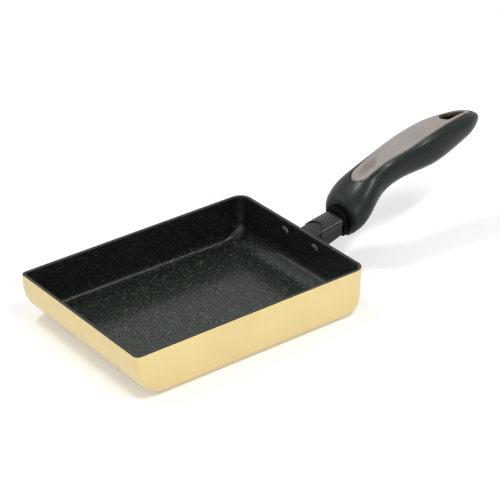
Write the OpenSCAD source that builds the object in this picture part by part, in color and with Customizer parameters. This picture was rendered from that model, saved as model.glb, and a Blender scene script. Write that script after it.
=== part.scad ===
// Small square omelette pan: a pressed sheet pan, a riveted bracket with a bent cover, and a moulded grip
// with a top cover. The origin is the middle of the resting face, +X points along the handle, +Z is up.

/* [Pan] */
// Outside length of the rim, along the handle
pan_length = 185; // [160:1:220]
// Outside width of the rim, across the handle
pan_width = 140; // [120:1:180]
// Height of the rim above the resting face
pan_height = 34.5; // [33:0.5:48]
// Thickness of the walls
wall = 2.6; // [2:0.1:3.2]
// Thickness of the floor
floor_thickness = 3; // [2:0.1:4]
// Corner radius of the rim at the handle side, seen from above
rim_corner = 9; // [8:0.5:14]
// Corner radius of the rim at the front, seen from above
front_corner = 4.2; // [3.8:0.2:9]
// Corner radius of the foot outside, seen from above
foot_corner = 4; // [3:0.5:9]
// Corner radius of the floor inside, seen from above
floor_corner = 9; // [3:0.5:14]
// Radius that rounds the two edges of the rim
rim_edge = 0.8; // [0.4:0.1:0.9]
// Radius of the long sweep at the foot of the front wall
front_sweep = 27; // [16:1:30]
// Radius at the foot of the handle wall
handle_sweep = 16; // [10:1:18]
// Radius at the foot of the side walls
side_sweep = 5.5; // [5:0.1:6.5]
// Outward lean of the side walls, in degrees
side_lean = 2.3; // [1:0.1:4]
// Outward lean of the handle wall, in degrees
handle_lean = 5; // [3:0.5:7]

/* [Rivets] */
// Diameter of the rivet shanks
rivet_d = 5; // [4:0.1:6]
// Diameter of the domed heads inside the pan
rivet_head_d = 9; // [8:0.1:10]
// Height of the domed heads
rivet_head_h = 1.7; // [1.2:0.1:2.2]
// Diameter of the formed heads outside
rivet_foot_d = 8; // [7:0.1:9]
// Distance between the two rivets
rivet_spacing = 33; // [31:0.5:37]
// Distance from the rim down the wall to the rivets
rivet_drop = 9; // [8:0.1:11]

/* [Bracket] */
// Thickness of the flange against the wall
flange_thickness = 2.5; // [2:0.1:3.5]
// Width of the flange, across the handle
flange_width = 48; // [46:1:54]
// Height of the flange
flange_height = 17.5; // [16:0.5:19]
// Distance from the rim down to the middle of the flange
flange_drop = 10.8; // [10:0.1:12]
// Corner radius of the flange
flange_corner = 6; // [3:0.5:7]
// Width of the arm
arm_width = 17; // [15:0.5:18]
// Depth of the arm where it leaves the flange
arm_root_depth = 16; // [14:0.5:17]
// Depth of the arm where it enters the grip
arm_end_depth = 11.6; // [11:0.1:12.2]
// Distance from the rim down to the arm's top where it leaves the wall
arm_drop = 4.2; // [3.5:0.1:5]
// Climb of the arm, in degrees
arm_slope = 9.5; // [7:0.5:12]
// Radius of the arm's long edges
arm_edge = 1.7; // [1:0.1:3]
// Rise of the arm's arched top over its long edges
arm_arch = 0.8; // [0.4:0.1:1.2]
// Length of the arm and its cover between the wall and the grip's mouth
neck_length = 31.5; // [27:0.5:42]
// How far the arm runs on inside the grip before the tang starts
arm_tuck = 4; // [3.5:0.5:5]
// Step all round where the arm meets the tang
tang_step = 0.4; // [0.3:0.1:1]
// Distance from the arm's end along the tang to the tang's tip
tang_end = 40; // [36:1:42]
// Width of the tang
tang_width = 12; // [10:0.5:14]
// Depth of the tang
tang_depth = 8; // [7:0.5:9]

/* [Flame guard] */
// Sheet thickness of the cover over the arm
guard_thickness = 0.8; // [0.5:0.1:1.2]
// Depth of the cover's side skirts below the arm's top
guard_skirt = 4.1; // [3.5:0.1:6]
// Distance from the wall to the deepest point of the arc in the cover's front edge
guard_start = 14.5; // [12:0.5:17]
// Radius of the arc
guard_arc = 10.5; // [10:0.1:12]
// How far the cover runs on inside the grip
guard_tuck = 3; // [2:0.5:3]

/* [Mouth ring] */
// Height and width of the ring
ring_size = [18.2, 22]; // [17.6:0.2:23]
// Height of the ring's middle above the middle of the arm's end
ring_rise = 2.2; // [2:0.1:2.6]
// Wall of the ring under the arm
ring_wall = 1.2; // [1:0.1:1.5]
// How far the ring stands out from the grip's mouth
ring_front = 3.4; // [2:0.1:4]
// How far the ring runs on inside the grip
ring_tuck = 2.6; // [2:0.1:3]
// Chamfer of the ring's front edge
ring_edge = 0.5; // [0.2:0.1:0.8]
// Width of the dark groove between the ring and the grip
ring_groove = 0.8; // [0.4:0.1:1]
// Depth of the groove
groove_depth = 1.2; // [0.8:0.1:1.6]

/* [Grip] */
// Length of the grip, from its mouth to its tip
grip_length = 127; // [124:0.5:148]
// Height and width of the mouth
mouth_size = [27.4, 33.2]; // [26:0.2:35]
// Height of the mouth's middle above the middle of the arm's end
mouth_rise = 3.7; // [3:0.1:4]
// Distance from the mouth to the bulb
bulb_at = 7; // [6:0.5:9]
// Height and width of the bulb
bulb_size = [30.8, 37.6]; // [29:0.2:39]
// Height of the bulb's middle above the mouth's
bulb_lift = 4.5; // [4:0.1:5]
// Distance from the mouth to the waist
waist_at = 30; // [28:0.5:34]
// Height and width of the waist
waist_size = [25.8, 27.6]; // [25:0.2:30]
// Height of the waist's middle above the mouth's
waist_lift = 20.7; // [19:0.1:22]
// Distance from the mouth to the palm swell
palm_at = 83; // [77:0.5:88]
// Height and width of the palm swell
palm_size = [28.2, 30.8]; // [26:0.2:34]
// Height of the palm swell's middle above the mouth's
palm_lift = 33.1; // [30:0.1:37]
// Height and width that the grip would have at its tip if it were not rounded there
tail_size = [13, 14]; // [12:0.2:18]
// Height of the tip above the middle of the mouth
tail_lift = 39.4; // [36:0.1:44]
// Length of the rounded end
tail_round = 16.5; // [12:0.5:20]
// Radius of the edge round the mouth
mouth_edge = 3.1; // [2:0.1:3.5]
// Squareness of the section: 2 is an ellipse, more is squarer
squareness = 2.25; // [2:0.05:2.6]

/* [Hanging slot] */
// Distance from the tip back to the middle of the slot's round end
slot_from_tip = 30.5; // [28:0.5:34]
// Radius of the slot's round end
slot_radius = 4.7; // [4:0.1:5]
// Distance between the middles of the slot's two ends
slot_reach = 16.5; // [12:0.5:18]
// Radius of the slot's narrow end
slot_tip_radius = 1.3; // [0.8:0.1:2]

/* [Top cover] */
// Thickness of the cover
inlay_thickness = 2.4; // [1.8:0.1:3]
// Width of the seam round the cover
seam = 0.6; // [0.4:0.1:0.8]
// Distance from the mouth to the cover's front end
inlay_start = 13; // [12:0.5:14]
// Radius of the cover's front end
inlay_front_radius = 7.3; // [6.5:0.1:8]
// Distance from the mouth to the cover's waist
inlay_waist_at = 29; // [27:0.5:32]
// Width of the cover at its waist
inlay_waist = 15; // [14:0.2:17]
// Distance from the mouth to the cover's widest place
inlay_wide_at = 57; // [52:1:62]
// Greatest width of the cover
inlay_width = 19.8; // [18:0.2:22]
// Width of the cover beside the slot
inlay_slot_width = 12.6; // [12.4:0.2:14]
// Distance from the tip to the cover's rear end
inlay_end_gap = 7; // [6:0.5:9]
// Distance from the mouth to the middle of the thumb dish
dish_at = 26; // [25:0.5:29]
// Length and width of the thumb dish
dish_size = [21.5, 10.5]; // [9:0.5:26]
// Depth of the thumb dish
dish_depth = 1.2; // [0.6:0.1:1.4]

/* [Screw] */
// Shank diameter of the screw
screw_d = 5; // [4:0.5:6]
// Head diameter of the screw
screw_head_d = 9; // [8:0.1:9.5]
// Head height of the screw
screw_head_h = 2.8; // [2:0.1:3.2]
// Distance from the arm's end along the tang to the screw
screw_at = 27; // [25:0.5:29]
// Grip wall between the tang and the screw's seat
screw_seat = 2.4; // [2:0.1:3]
// Thickness of the spring washer
washer_thickness = 1.2; // [0.8:0.1:1.5]

/* [Hidden] */

// Clearance of a piece that slides into another
fit = 0.2;
// Clearance round a rivet or a screw
hole_fit = 0.1;
// Clearance round the screw's head
head_fit = 0.75;
// Overshoot of a cut past a face
past = 1;
// Thickness of a slice that only gives a hull its outline
slice = 0.01;
// Half width of the top cover at its two ends
cover_end = 1;
// Width of the cross slots in the screw's head
drive_width = 1.2;
// How far the washer stands out past the screw's head
washer_rim = 0.2;
// Facets of a rounded hull's corners
$fn = 32;

// Corner steps and height steps of the pan's rings
corner_steps = 8;
level_steps = 18;
edge_steps = 3;
// Steps round, along and at the ends of the grip
round_steps = 44;
length_steps = 30;
tail_steps = 8;
// Steps along and across the top cover
cover_steps = 34;
across_steps = 10;

wall_x = pan_length / 2;
mouth_x = wall_x + neck_length;
arm_top = pan_height - arm_drop;
arm_mid_z = arm_top + neck_length * tan(arm_slope) - arm_end_depth / 2 / cos(arm_slope);
mouth_z = arm_mid_z + mouth_rise;
arm_end = neck_length + arm_tuck;
tang_out = arm_end - past;
tang_z = arm_top_at(tang_out) - arm_depth(tang_out) / 2;
tang_slope = atan((mouth_z + waist_lift - tang_z) / (neck_length + waist_at - tang_out));
guard_end = neck_length + guard_tuck;
guard_front = guard_start - guard_arc;
slot_at = grip_length - slot_from_tip;
seat_z = -tang_depth / 2 - fit - screw_seat;

// Slope of the smooth curve through the points of a list, at point i
function knot_slope(k, i) =
  let (last = len(k) - 1,
    before = i > 0 ? (k[i][1] - k[i - 1][1]) / (k[i][0] - k[i - 1][0]) : undef,
    after = i < last ? (k[i + 1][1] - k[i][1]) / (k[i + 1][0] - k[i][0]) : undef)
  i == 0 ? after : i == last ? before :
  (before * (k[i + 1][0] - k[i][0]) + after * (k[i][0] - k[i - 1][0])) / (k[i + 1][0] - k[i - 1][0]);

// Index of the stretch of a list that holds the place x
function stretch(k, x, i = 0) = i >= len(k) - 2 || x <= k[i + 1][0] ? i : stretch(k, x, i + 1);

// Value at x of the smooth curve through the [place, value] pairs of a list
function curve(k, x) =
  let (i = stretch(k, x),
    span = k[i + 1][0] - k[i][0],
    t = (x - k[i][0]) / span)
  (1 + 2 * t) * pow(1 - t, 2) * k[i][1] + t * pow(1 - t, 2) * span * knot_slope(k, i)
  + t * t * (3 - 2 * t) * k[i + 1][1] + t * t * (t - 1) * span * knot_slope(k, i + 1);

// Faces that join rings of n points, given in order, into one closed skin with flat ends
function ring_faces(rings, n, ends) = concat(
  [for (r = [0 : rings - 2], i = [0 : n - 1]) [r * n + i, (r + 1) * n + i, (r + 1) * n + (i + 1) % n]],
  [for (r = [0 : rings - 2], i = [0 : n - 1]) [r * n + i, (r + 1) * n + (i + 1) % n, r * n + (i + 1) % n]],
  ends);

// Distance that a wall lies inside the rim at height z: it leans, then sweeps into a foot at height base
function inset(z, lean, sweep, base) =
  let (foot = (pan_height - base - sweep) * tan(lean) + sweep / cos(lean),
    up = z - base)
  up >= sweep * (1 - sin(lean)) ? (pan_height - z) * tan(lean)
  : foot - sqrt(max(0, sweep * sweep - pow(sweep - up, 2)));

// One ring of the pan at height z, the skin's thickness deep inside the outer face
function pan_ring(z, base, deep, foot_r, round_in = 0) =
  let (front = inset(z, 0, front_sweep - deep, base) + deep + round_in,
    back = inset(z, handle_lean, handle_sweep - deep, base) + deep / cos(handle_lean) + round_in,
    side = inset(z, side_lean, side_sweep - deep, base) + deep / cos(side_lean) + round_in,
    low = pow((pan_height - z) / (pan_height - base), 2),
    x0 = -pan_length / 2 + front,
    x1 = pan_length / 2 - back,
    y1 = pan_width / 2 - side)
  [for (q = [0 : 3], i = [0 : corner_steps])
    let (a = 90 * (q + i / corner_steps),
      handle_side = q == 0 || q == 3,
      r = ((handle_side ? rim_corner : front_corner) - deep) * (1 - low) + foot_r * low,
      x = handle_side ? x1 - r : x0 + r,
      y = q < 2 ? y1 - r : r - y1)
    [x + r * cos(a), y + r * sin(a), z]];

// Heights of the rings, closer together near the foot, where the walls sweep
function level(base, k) = base + (pan_height - rim_edge - base) * pow(k / level_steps, 2);

module pan_skin() {
  n = 4 * (corner_steps + 1);
  outside = [for (k = [0 : level_steps]) pan_ring(level(0, k), 0, 0, foot_corner)];
  lip_out = [for (k = [1 : edge_steps])
    let (a = 90 * k / edge_steps, z = pan_height - rim_edge * (1 - sin(a)))
    pan_ring(z, 0, 0, foot_corner, rim_edge * (1 - cos(a)))];
  lip_in = [for (k = [edge_steps : -1 : 1])
    let (a = 90 * k / edge_steps, z = pan_height - rim_edge * (1 - sin(a)))
    pan_ring(z, floor_thickness, wall, floor_corner, -rim_edge * (1 - cos(a)))];
  inside = [for (k = [level_steps : -1 : 0])
    pan_ring(level(floor_thickness, k), floor_thickness, wall, floor_corner)];
  rings = concat(outside, lip_out, lip_in, inside);
  count = len(rings);
  ends = [[for (i = [0 : n - 1]) i], [for (i = [n - 1 : -1 : 0]) (count - 1) * n + i]];
  polyhedron([for (ring = rings) each ring], ring_faces(count, n, ends), convexity = 6);
}

// Puts its children in the handle wall's own frame: x out of the wall, y across, z up to the rim
module on_handle_wall() {
  translate([wall_x, 0, pan_height])
    rotate([0, handle_lean, 0])
      children();
}

module rivet_holes(radius) {
  for (side = [-1, 1])
    on_handle_wall()
      translate([-wall - past, side * rivet_spacing / 2, -rivet_drop])
        rotate([0, 90, 0])
          cylinder(r = radius, h = wall + flange_thickness + 2 * past);
}

module pan_body() {
  color("#e8d08f")
    difference() {
      pan_skin();
      rivet_holes(rivet_d / 2 + hole_fit);
    }
}

// Low dome of the given width and height, standing on the XY plane
module dome(width, height) {
  ball = (pow(width / 2, 2) + height * height) / (2 * height);
  intersection() {
    translate([0, 0, height - ball])
      sphere(r = ball);
    cylinder(d = width, h = height);
  }
}

module rivet(side) {
  color("#2b2b2c")
    on_handle_wall()
      translate([-wall, side * rivet_spacing / 2, -rivet_drop]) {
        rotate([0, -90, 0])
          dome(rivet_head_d, rivet_head_h);
        rotate([0, 90, 0])
          cylinder(d = rivet_d, h = wall + flange_thickness + rivet_head_h / 2);
        translate([wall + flange_thickness, 0, 0])
          rotate([0, 90, 0])
            dome(rivet_foot_d, rivet_head_h);
      }
}

module rivet_left() {
  rivet(1);
}

module rivet_right() {
  rivet(-1);
}

// Rectangle with round corners, about the origin
module round_rectangle(width, height, radius) {
  square([width - 2 * radius, height], center = true);
  square([width, height - 2 * radius], center = true);
  for (x = [-1, 1], y = [-1, 1])
    translate([x * (width / 2 - radius), y * (height / 2 - radius)])
      circle(r = radius);
}

// Height of the arm's top and its depth at a distance out from the wall
function arm_top_at(out) = arm_top + out * tan(arm_slope);
function arm_depth(out) = arm_root_depth + (arm_end_depth - arm_root_depth) * out / neck_length;

// Outline of the arm at a distance out from the wall, grown by a margin on every side
module arm_outline(out, margin) {
  translate([0, arm_top_at(out) - arm_depth(out) / 2])
    round_rectangle(arm_width + 2 * margin, arm_depth(out) + 2 * margin, arm_edge + margin);
}

// Thin slice of the arm, with its arched top
module arm_slice(out, margin) {
  flat = arm_width / 2 - arm_edge;
  translate([wall_x + out, 0, 0])
    rotate([90, 0, 90])
      linear_extrude(slice)
        hull() {
          arm_outline(out, margin);
          translate([0, arm_top_at(out) + margin])
            scale([1, arm_arch / flat])
              circle(r = flat);
        }
}

// Stretch of the arm between two distances from the wall
module arm_stretch(from, to, margin = 0) {
  hull() {
    arm_slice(from, margin);
    arm_slice(to, margin);
  }
}

// Puts its children where the tang leaves the arm, with x along the tang
module on_tang() {
  translate([wall_x + tang_out, 0, tang_z])
    rotate([0, -tang_slope, 0])
      children();
}

// Tang: it narrows from the end of the arm to its own tip inside the grip, grown by a margin
module tang(margin = 0) {
  width = tang_width + 2 * margin;
  depth = tang_depth + 2 * margin;
  hull() {
    arm_slice(tang_out, margin - tang_step);
    on_tang()
      translate([tang_end - past, -width / 2, -depth / 2])
        cube([past + margin, width, depth]);
  }
}

module flange() {
  on_handle_wall()
    translate([0, 0, -flange_drop])
      rotate([90, 0, 90])
        linear_extrude(flange_thickness)
          round_rectangle(flange_width, flange_height, flange_corner);
}

// Everything behind the middle of the flange, which the arm's root is cut away from
module behind_flange() {
  on_handle_wall()
    translate([flange_thickness / 2 - 2 * pan_height, -pan_width / 2, -2 * pan_height])
      cube([2 * pan_height, pan_width, 4 * pan_height]);
}

module handle_bracket() {
  color("#3a403f")
    difference() {
      union() {
        flange();
        difference() {
          arm_stretch(-flange_thickness, arm_end);
          behind_flange();
        }
        tang();
      }
      rivet_holes(rivet_d / 2 + hole_fit);
      screw_axis()
        translate([0, 0, -tang_depth])
          cylinder(d = screw_d, h = 2 * tang_depth);
    }
}

// Outer form of the cover over the arm, without its inside, grown by a margin
module guard_blank(margin = 0) {
  difference() {
    arm_stretch(guard_front, guard_end + margin, hole_fit + guard_thickness + margin);
    translate([wall_x, -arm_width, arm_top - guard_skirt - margin - arm_root_depth])
      multmatrix([[1, 0, 0, 0], [0, 1, 0, 0], [tan(arm_slope), 0, 1, 0]])
        cube([guard_end + 2 * past, 2 * arm_width, arm_root_depth]);
  }
}

module flame_guard() {
  color("#414847")
    difference() {
      guard_blank();
      arm_stretch(0, guard_end + past, hole_fit);
      translate([wall_x + guard_front, 0, 0])
        cylinder(r = guard_arc, h = 3 * pan_height);
    }
}

// Height over the middle and width of the section, as a share of the half sizes, at an angle
function rounder(a) = sign(a) * pow(abs(a), 2 / squareness);
function section(height, width) =
  [for (i = [0 : round_steps - 1]) let (a = 360 * i / round_steps)
    [width / 2 * rounder(cos(a)), height / 2 * rounder(sin(a))]];

// Curves of the grip along its length: the middle's height, the section's height and its width
lift_curve = [[0, 0], [bulb_at, bulb_lift], [waist_at, waist_lift], [palm_at, palm_lift],
  [grip_length, tail_lift]];
height_curve = [[0, mouth_size[0]], [bulb_at, bulb_size[0]], [waist_at, waist_size[0]],
  [palm_at, palm_size[0]], [grip_length, tail_size[0]]];
width_curve = [[0, mouth_size[1]], [bulb_at, bulb_size[1]], [waist_at, waist_size[1]],
  [palm_at, palm_size[1]], [grip_length, tail_size[1]]];

// Share of the full section that the rounded end leaves at a distance from the mouth
function tail_share(at) = sqrt(max(0, 1 - pow(max(0, at - grip_length + tail_round) / tail_round, 2)));
function middle(at) = mouth_z + curve(lift_curve, at);
function height_at(at) = curve(height_curve, at) * tail_share(at);
function width_at(at) = curve(width_curve, at) * tail_share(at);

// Height of the grip's upper surface at a distance from the mouth and a distance from the middle plane
function crown(at, y) =
  middle(at) + height_at(at) / 2
  * pow(max(0, 1 - pow(abs(y) / max(width_at(at) / 2, slice), squareness)), 1 / squareness);

// One ring of the grip, drawn in by a margin
function grip_ring(at, margin) =
  [for (p = section(height_at(at) - 2 * margin, width_at(at) - 2 * margin))
    [mouth_x + at, p[0], middle(at) + p[1]]];

module grip_form() {
  straight = grip_length - tail_round;
  edge = [for (k = [0 : edge_steps]) let (a = 90 * k / edge_steps)
    grip_ring(mouth_edge * (1 - cos(a)), mouth_edge * (1 - sin(a)))];
  body = [for (k = [1 : length_steps]) grip_ring(mouth_edge + (straight - mouth_edge) * k / length_steps, 0)];
  end = [for (k = [1 : tail_steps - 1]) grip_ring(straight + tail_round * sin(90 * k / tail_steps), 0)];
  rings = concat(edge, body, end);
  n = round_steps;
  count = len(rings);
  tip = [mouth_x + grip_length, 0, middle(grip_length)];
  ends = concat([[for (i = [n - 1 : -1 : 0]) i]],
    [for (i = [0 : n - 1]) [(count - 1) * n + i, count * n, (count - 1) * n + (i + 1) % n]]);
  points = concat([for (ring = rings) each ring], [tip]);
  faces = [for (f = ring_faces(count, n, ends)) [for (i = [len(f) - 1 : -1 : 0]) f[i]]];
  polyhedron(points, faces, convexity = 6);
}

// Half width of the top cover along its length, after its round front end
cover_curve = [[inlay_start + inlay_front_radius, inlay_front_radius],
  [inlay_waist_at, inlay_waist / 2], [inlay_wide_at, inlay_width / 2],
  [slot_at, inlay_slot_width / 2], [grip_length - inlay_end_gap, cover_end]];
function cover_half(at) =
  let (from_front = at - inlay_start)
  from_front >= inlay_front_radius ? curve(cover_curve, at)
  : sqrt(max(0, pow(inlay_front_radius, 2) - pow(inlay_front_radius - from_front, 2)));

// Depth of the thumb dish at a place on the cover
function dish(at, y) =
  let (away = pow((at - dish_at) / (dish_size[0] / 2), 2) + pow(y / (dish_size[1] / 2), 2))
  dish_depth * pow(max(0, 1 - away), 2);

// Distances from the mouth of the cover's rows, closer together round its front end
cover_length = grip_length - inlay_end_gap - inlay_start;
function cover_row(k) = inlay_start + cover_length * pow(k / cover_steps, 1.5);

// Curved slab that follows the grip's crown: from below it to above it, grown in plan by a margin
module crown_slab(below, above, margin, dished) {
  n = across_steps + 1;
  rows = [for (k = [0 : cover_steps])
    let (at = cover_row(k) + (k == 0 ? -margin : k == cover_steps ? margin : 0),
      half = max(cover_end, cover_half(cover_row(k))) + margin)
    [for (j = [0 : across_steps]) [at, half * sin(90 * (2 * j / across_steps - 1))]]];
  top = [for (row = rows, p = row)
    let (sunk = dished ? dish(p[0], p[1]) : 0)
    [mouth_x + p[0], p[1], crown(p[0], p[1]) + above - sunk]];
  bottom = [for (row = rows, p = row) [mouth_x + p[0], p[1], crown(p[0], p[1]) - below]];
  lower = len(top);
  grid = [for (k = [0 : cover_steps - 1], j = [0 : across_steps - 1]) k * n + j];
  rim = concat([for (j = [0 : across_steps]) j], [for (k = [1 : cover_steps]) k * n + across_steps],
    [for (j = [across_steps - 1 : -1 : 0]) cover_steps * n + j],
    [for (k = [cover_steps - 1 : -1 : 1]) k * n]);
  faces = concat(
    [for (g = grid) [g, g + 1, g + n + 1]], [for (g = grid) [g, g + n + 1, g + n]],
    [for (g = grid) [lower + g, lower + g + n + 1, lower + g + 1]],
    [for (g = grid) [lower + g, lower + g + n, lower + g + n + 1]],
    [for (i = [0 : len(rim) - 1]) let (a = rim[i], b = rim[(i + 1) % len(rim)]) [a, lower + a, b]],
    [for (i = [0 : len(rim) - 1]) let (a = rim[i], b = rim[(i + 1) % len(rim)]) [b, lower + a, lower + b]]);
  polyhedron(concat(top, bottom), faces, convexity = 4);
}

// Teardrop that the hanging slot cuts straight down through the grip, grown by a margin
module slot_cut(margin = 0) {
  big = slot_radius + margin;
  small = slot_tip_radius + margin;
  lean = asin((big - small) / slot_reach);
  translate([mouth_x + slot_at, 0, mouth_z])
    linear_extrude(2 * tail_lift) {
      circle(r = big);
      translate([slot_reach, 0])
        circle(r = small);
      polygon([[big * sin(lean), big * cos(lean)], [slot_reach + small * sin(lean), small * cos(lean)],
        [slot_reach + small * sin(lean), -small * cos(lean)], [big * sin(lean), -big * cos(lean)]]);
    }
}

// Puts its children on the screw's axis, with z pointing up into the tang from below
module screw_axis() {
  on_tang()
    translate([screw_at, 0, 0])
      children();
}

// Outline of the ring: an arch over the arm and its cover that also takes in the arm's lower corners
module ring_outline() {
  hull() {
    translate([0, arm_mid_z + ring_rise])
      polygon(section(ring_size[0], ring_size[1]));
    arm_outline(neck_length - ring_front, ring_wall);
  }
}

// Plate of the ring's outline between two distances from the mouth, grown by a margin
module ring_plate(from, to, margin = 0) {
  translate([mouth_x + from, 0, 0])
    rotate([90, 0, 90])
      linear_extrude(to - from)
        offset(r = margin)
          ring_outline();
}

// Way through the ring and the mouth for the arm and its cover
module neck_way() {
  arm_stretch(0, arm_end + fit, fit);
  guard_blank(fit);
}

module mouth_ring() {
  color("#1b1c1e")
    difference() {
      hull() {
        ring_plate(-ring_front, 0, -ring_edge);
        ring_plate(ring_edge - ring_front, ring_tuck);
      }
      neck_way();
    }
}

module grip_body() {
  color("#343b3a")
    difference() {
      grip_form();
      crown_slab(inlay_thickness + hole_fit, 2 * dish_depth, seam, false);
      slot_cut();
      ring_plate(-ring_front, groove_depth, ring_groove);
      ring_plate(0, ring_tuck + fit, hole_fit);
      neck_way();
      tang(fit);
      screw_axis() {
        translate([0, 0, seat_z - 2 * bulb_size[0]])
          cylinder(d = screw_head_d + 2 * head_fit, h = 2 * bulb_size[0]);
        translate([0, 0, seat_z - past])
          cylinder(d = screw_d + 2 * hole_fit, h = screw_seat + tang_depth / 2 + past);
      }
    }
}

module grip_inlay() {
  color("#9c9189")
    difference() {
      crown_slab(inlay_thickness, 0, 0, true);
      slot_cut();
    }
}

module handle_screw() {
  head_z = seat_z - washer_thickness - screw_head_h;
  color("#b9bcbf")
    screw_axis() {
      translate([0, 0, head_z])
        difference() {
          cylinder(d = screw_head_d, h = screw_head_h);
          for (turn = [0, 90])
            rotate([0, 0, turn])
              translate([-screw_head_d / 4, -drive_width / 2, -past])
                cube([screw_head_d / 2, drive_width, past + screw_head_h / 2]);
        }
      translate([0, 0, head_z + screw_head_h])
        cylinder(d = screw_d - 2 * hole_fit, h = tang_depth / 2 - head_z - screw_head_h);
    }
}

module screw_washer() {
  color("#a8abae")
    screw_axis()
      translate([0, 0, seat_z - washer_thickness])
        difference() {
          cylinder(d = screw_head_d + 2 * washer_rim, h = washer_thickness);
          translate([0, 0, -past])
            cylinder(d = screw_d + 2 * hole_fit, h = washer_thickness + 2 * past);
        }
}

pan_body();
rivet_left();
rivet_right();
handle_bracket();
flame_guard();
mouth_ring();
grip_body();
grip_inlay();
handle_screw();
screw_washer();
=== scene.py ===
"""Omelette pan: pressed pan, riveted bracket with its bent cover, and moulded grip."""

import math
from collections import namedtuple

import bmesh
import bpy
from bpy.props import FloatProperty, FloatVectorProperty, PointerProperty
from mathutils import Euler, Matrix, Vector


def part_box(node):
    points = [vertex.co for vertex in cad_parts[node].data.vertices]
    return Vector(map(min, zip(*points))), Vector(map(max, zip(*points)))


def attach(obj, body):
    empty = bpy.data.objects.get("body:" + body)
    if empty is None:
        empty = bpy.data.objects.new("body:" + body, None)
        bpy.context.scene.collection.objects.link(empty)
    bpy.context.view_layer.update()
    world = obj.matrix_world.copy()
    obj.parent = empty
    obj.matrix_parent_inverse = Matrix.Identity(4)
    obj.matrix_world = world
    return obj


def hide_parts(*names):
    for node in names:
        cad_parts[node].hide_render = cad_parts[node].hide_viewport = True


bl_info = {
    "name": "Omelette Pan",
    "version": (1, 0, 0),
    "blender": (4, 5, 0),
    "location": "View3D > Sidebar > Omelette Pan",
    "description": "Dresses the omelette pan's frame with its pieces, finishes and a studio",
    "category": "Add Mesh",
}

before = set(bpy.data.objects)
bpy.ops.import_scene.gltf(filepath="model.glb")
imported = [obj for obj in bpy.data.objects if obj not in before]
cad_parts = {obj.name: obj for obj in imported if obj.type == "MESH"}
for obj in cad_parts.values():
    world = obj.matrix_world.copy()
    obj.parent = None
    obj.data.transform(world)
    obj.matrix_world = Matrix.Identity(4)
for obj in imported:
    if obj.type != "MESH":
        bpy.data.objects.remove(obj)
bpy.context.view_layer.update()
pan_low, pan_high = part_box("pan_body")
pan_mm = 1000 * (pan_high - pan_low)


def mm(name, description, default, low, high):
    """A size that is written in millimetres here, kept in metres and shown in the scene's units."""
    return FloatProperty(
        name=name, description=description, default=default / 1000, min=low / 1000,
        max=high / 1000, unit="LENGTH", precision=4,
    )


def angle_property(name, description, degrees):
    """An angle that is kept in radians and shown in degrees."""
    return FloatProperty(
        name=name, description=description, default=math.radians(degrees),
        min=0.0, max=math.radians(40), subtype="ANGLE",
    )


def colour_property(name, description, red, green, blue):
    """A colour from its written values of 0 to 255, kept as the light that it gives back."""
    light = [
        v / 12.92 if v <= 0.04045 else ((v + 0.055) / 1.055) ** 2.4
        for v in (red / 255, green / 255, blue / 255)
    ]
    return FloatVectorProperty(
        name=name, description=description, default=light, size=3, min=0.0, max=1.0,
        subtype="COLOR",
    )


def level_property(name, description, default):
    """A power in watts, or a strength."""
    return FloatProperty(name=name, description=description, default=default, min=0, max=200)


class PanForm(bpy.types.PropertyGroup):
    """Sizes of the pressed pan."""

    rim_length: mm("Rim length", "Outside length of the rim", pan_mm.x, 120, 300)
    rim_width: mm("Rim width", "Outside width of the rim", pan_mm.y, 100, 300)
    height: mm("Height", "Height of the rim above the resting face", pan_mm.z, 20, 80)
    wall: mm("Wall", "Thickness of the walls", 2.6, 1, 5)
    floor: mm("Floor", "Thickness of the floor", 3, 1, 6)
    rim_corner: mm("Rim corner", "Corner radius at the handle side", 9, 4, 20)
    front_corner: mm("Front corner", "Corner radius at the front", 4.2, 3.8, 20)
    foot_corner: mm("Foot corner", "Corner radius of the foot outside", 4, 2, 20)
    floor_corner: mm("Floor corner", "Corner radius of the floor inside", 9, 2, 20)
    rim_edge: mm("Rim edge", "Radius that rounds the rim", 0.8, 0.2, 1.2)
    front_sweep: mm("Front sweep", "Radius at the foot of the front wall", 27, 5, 30)
    handle_sweep: mm("Handle sweep", "Radius at the foot of the handle wall", 16, 5, 30)
    side_sweep: mm("Side sweep", "Radius at the foot of the side walls", 5.5, 3, 20)
    side_lean: angle_property("Side lean", "Outward lean of the side walls", 2.3)
    handle_lean: angle_property("Handle lean", "Outward lean of the handle wall", 5.0)


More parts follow.
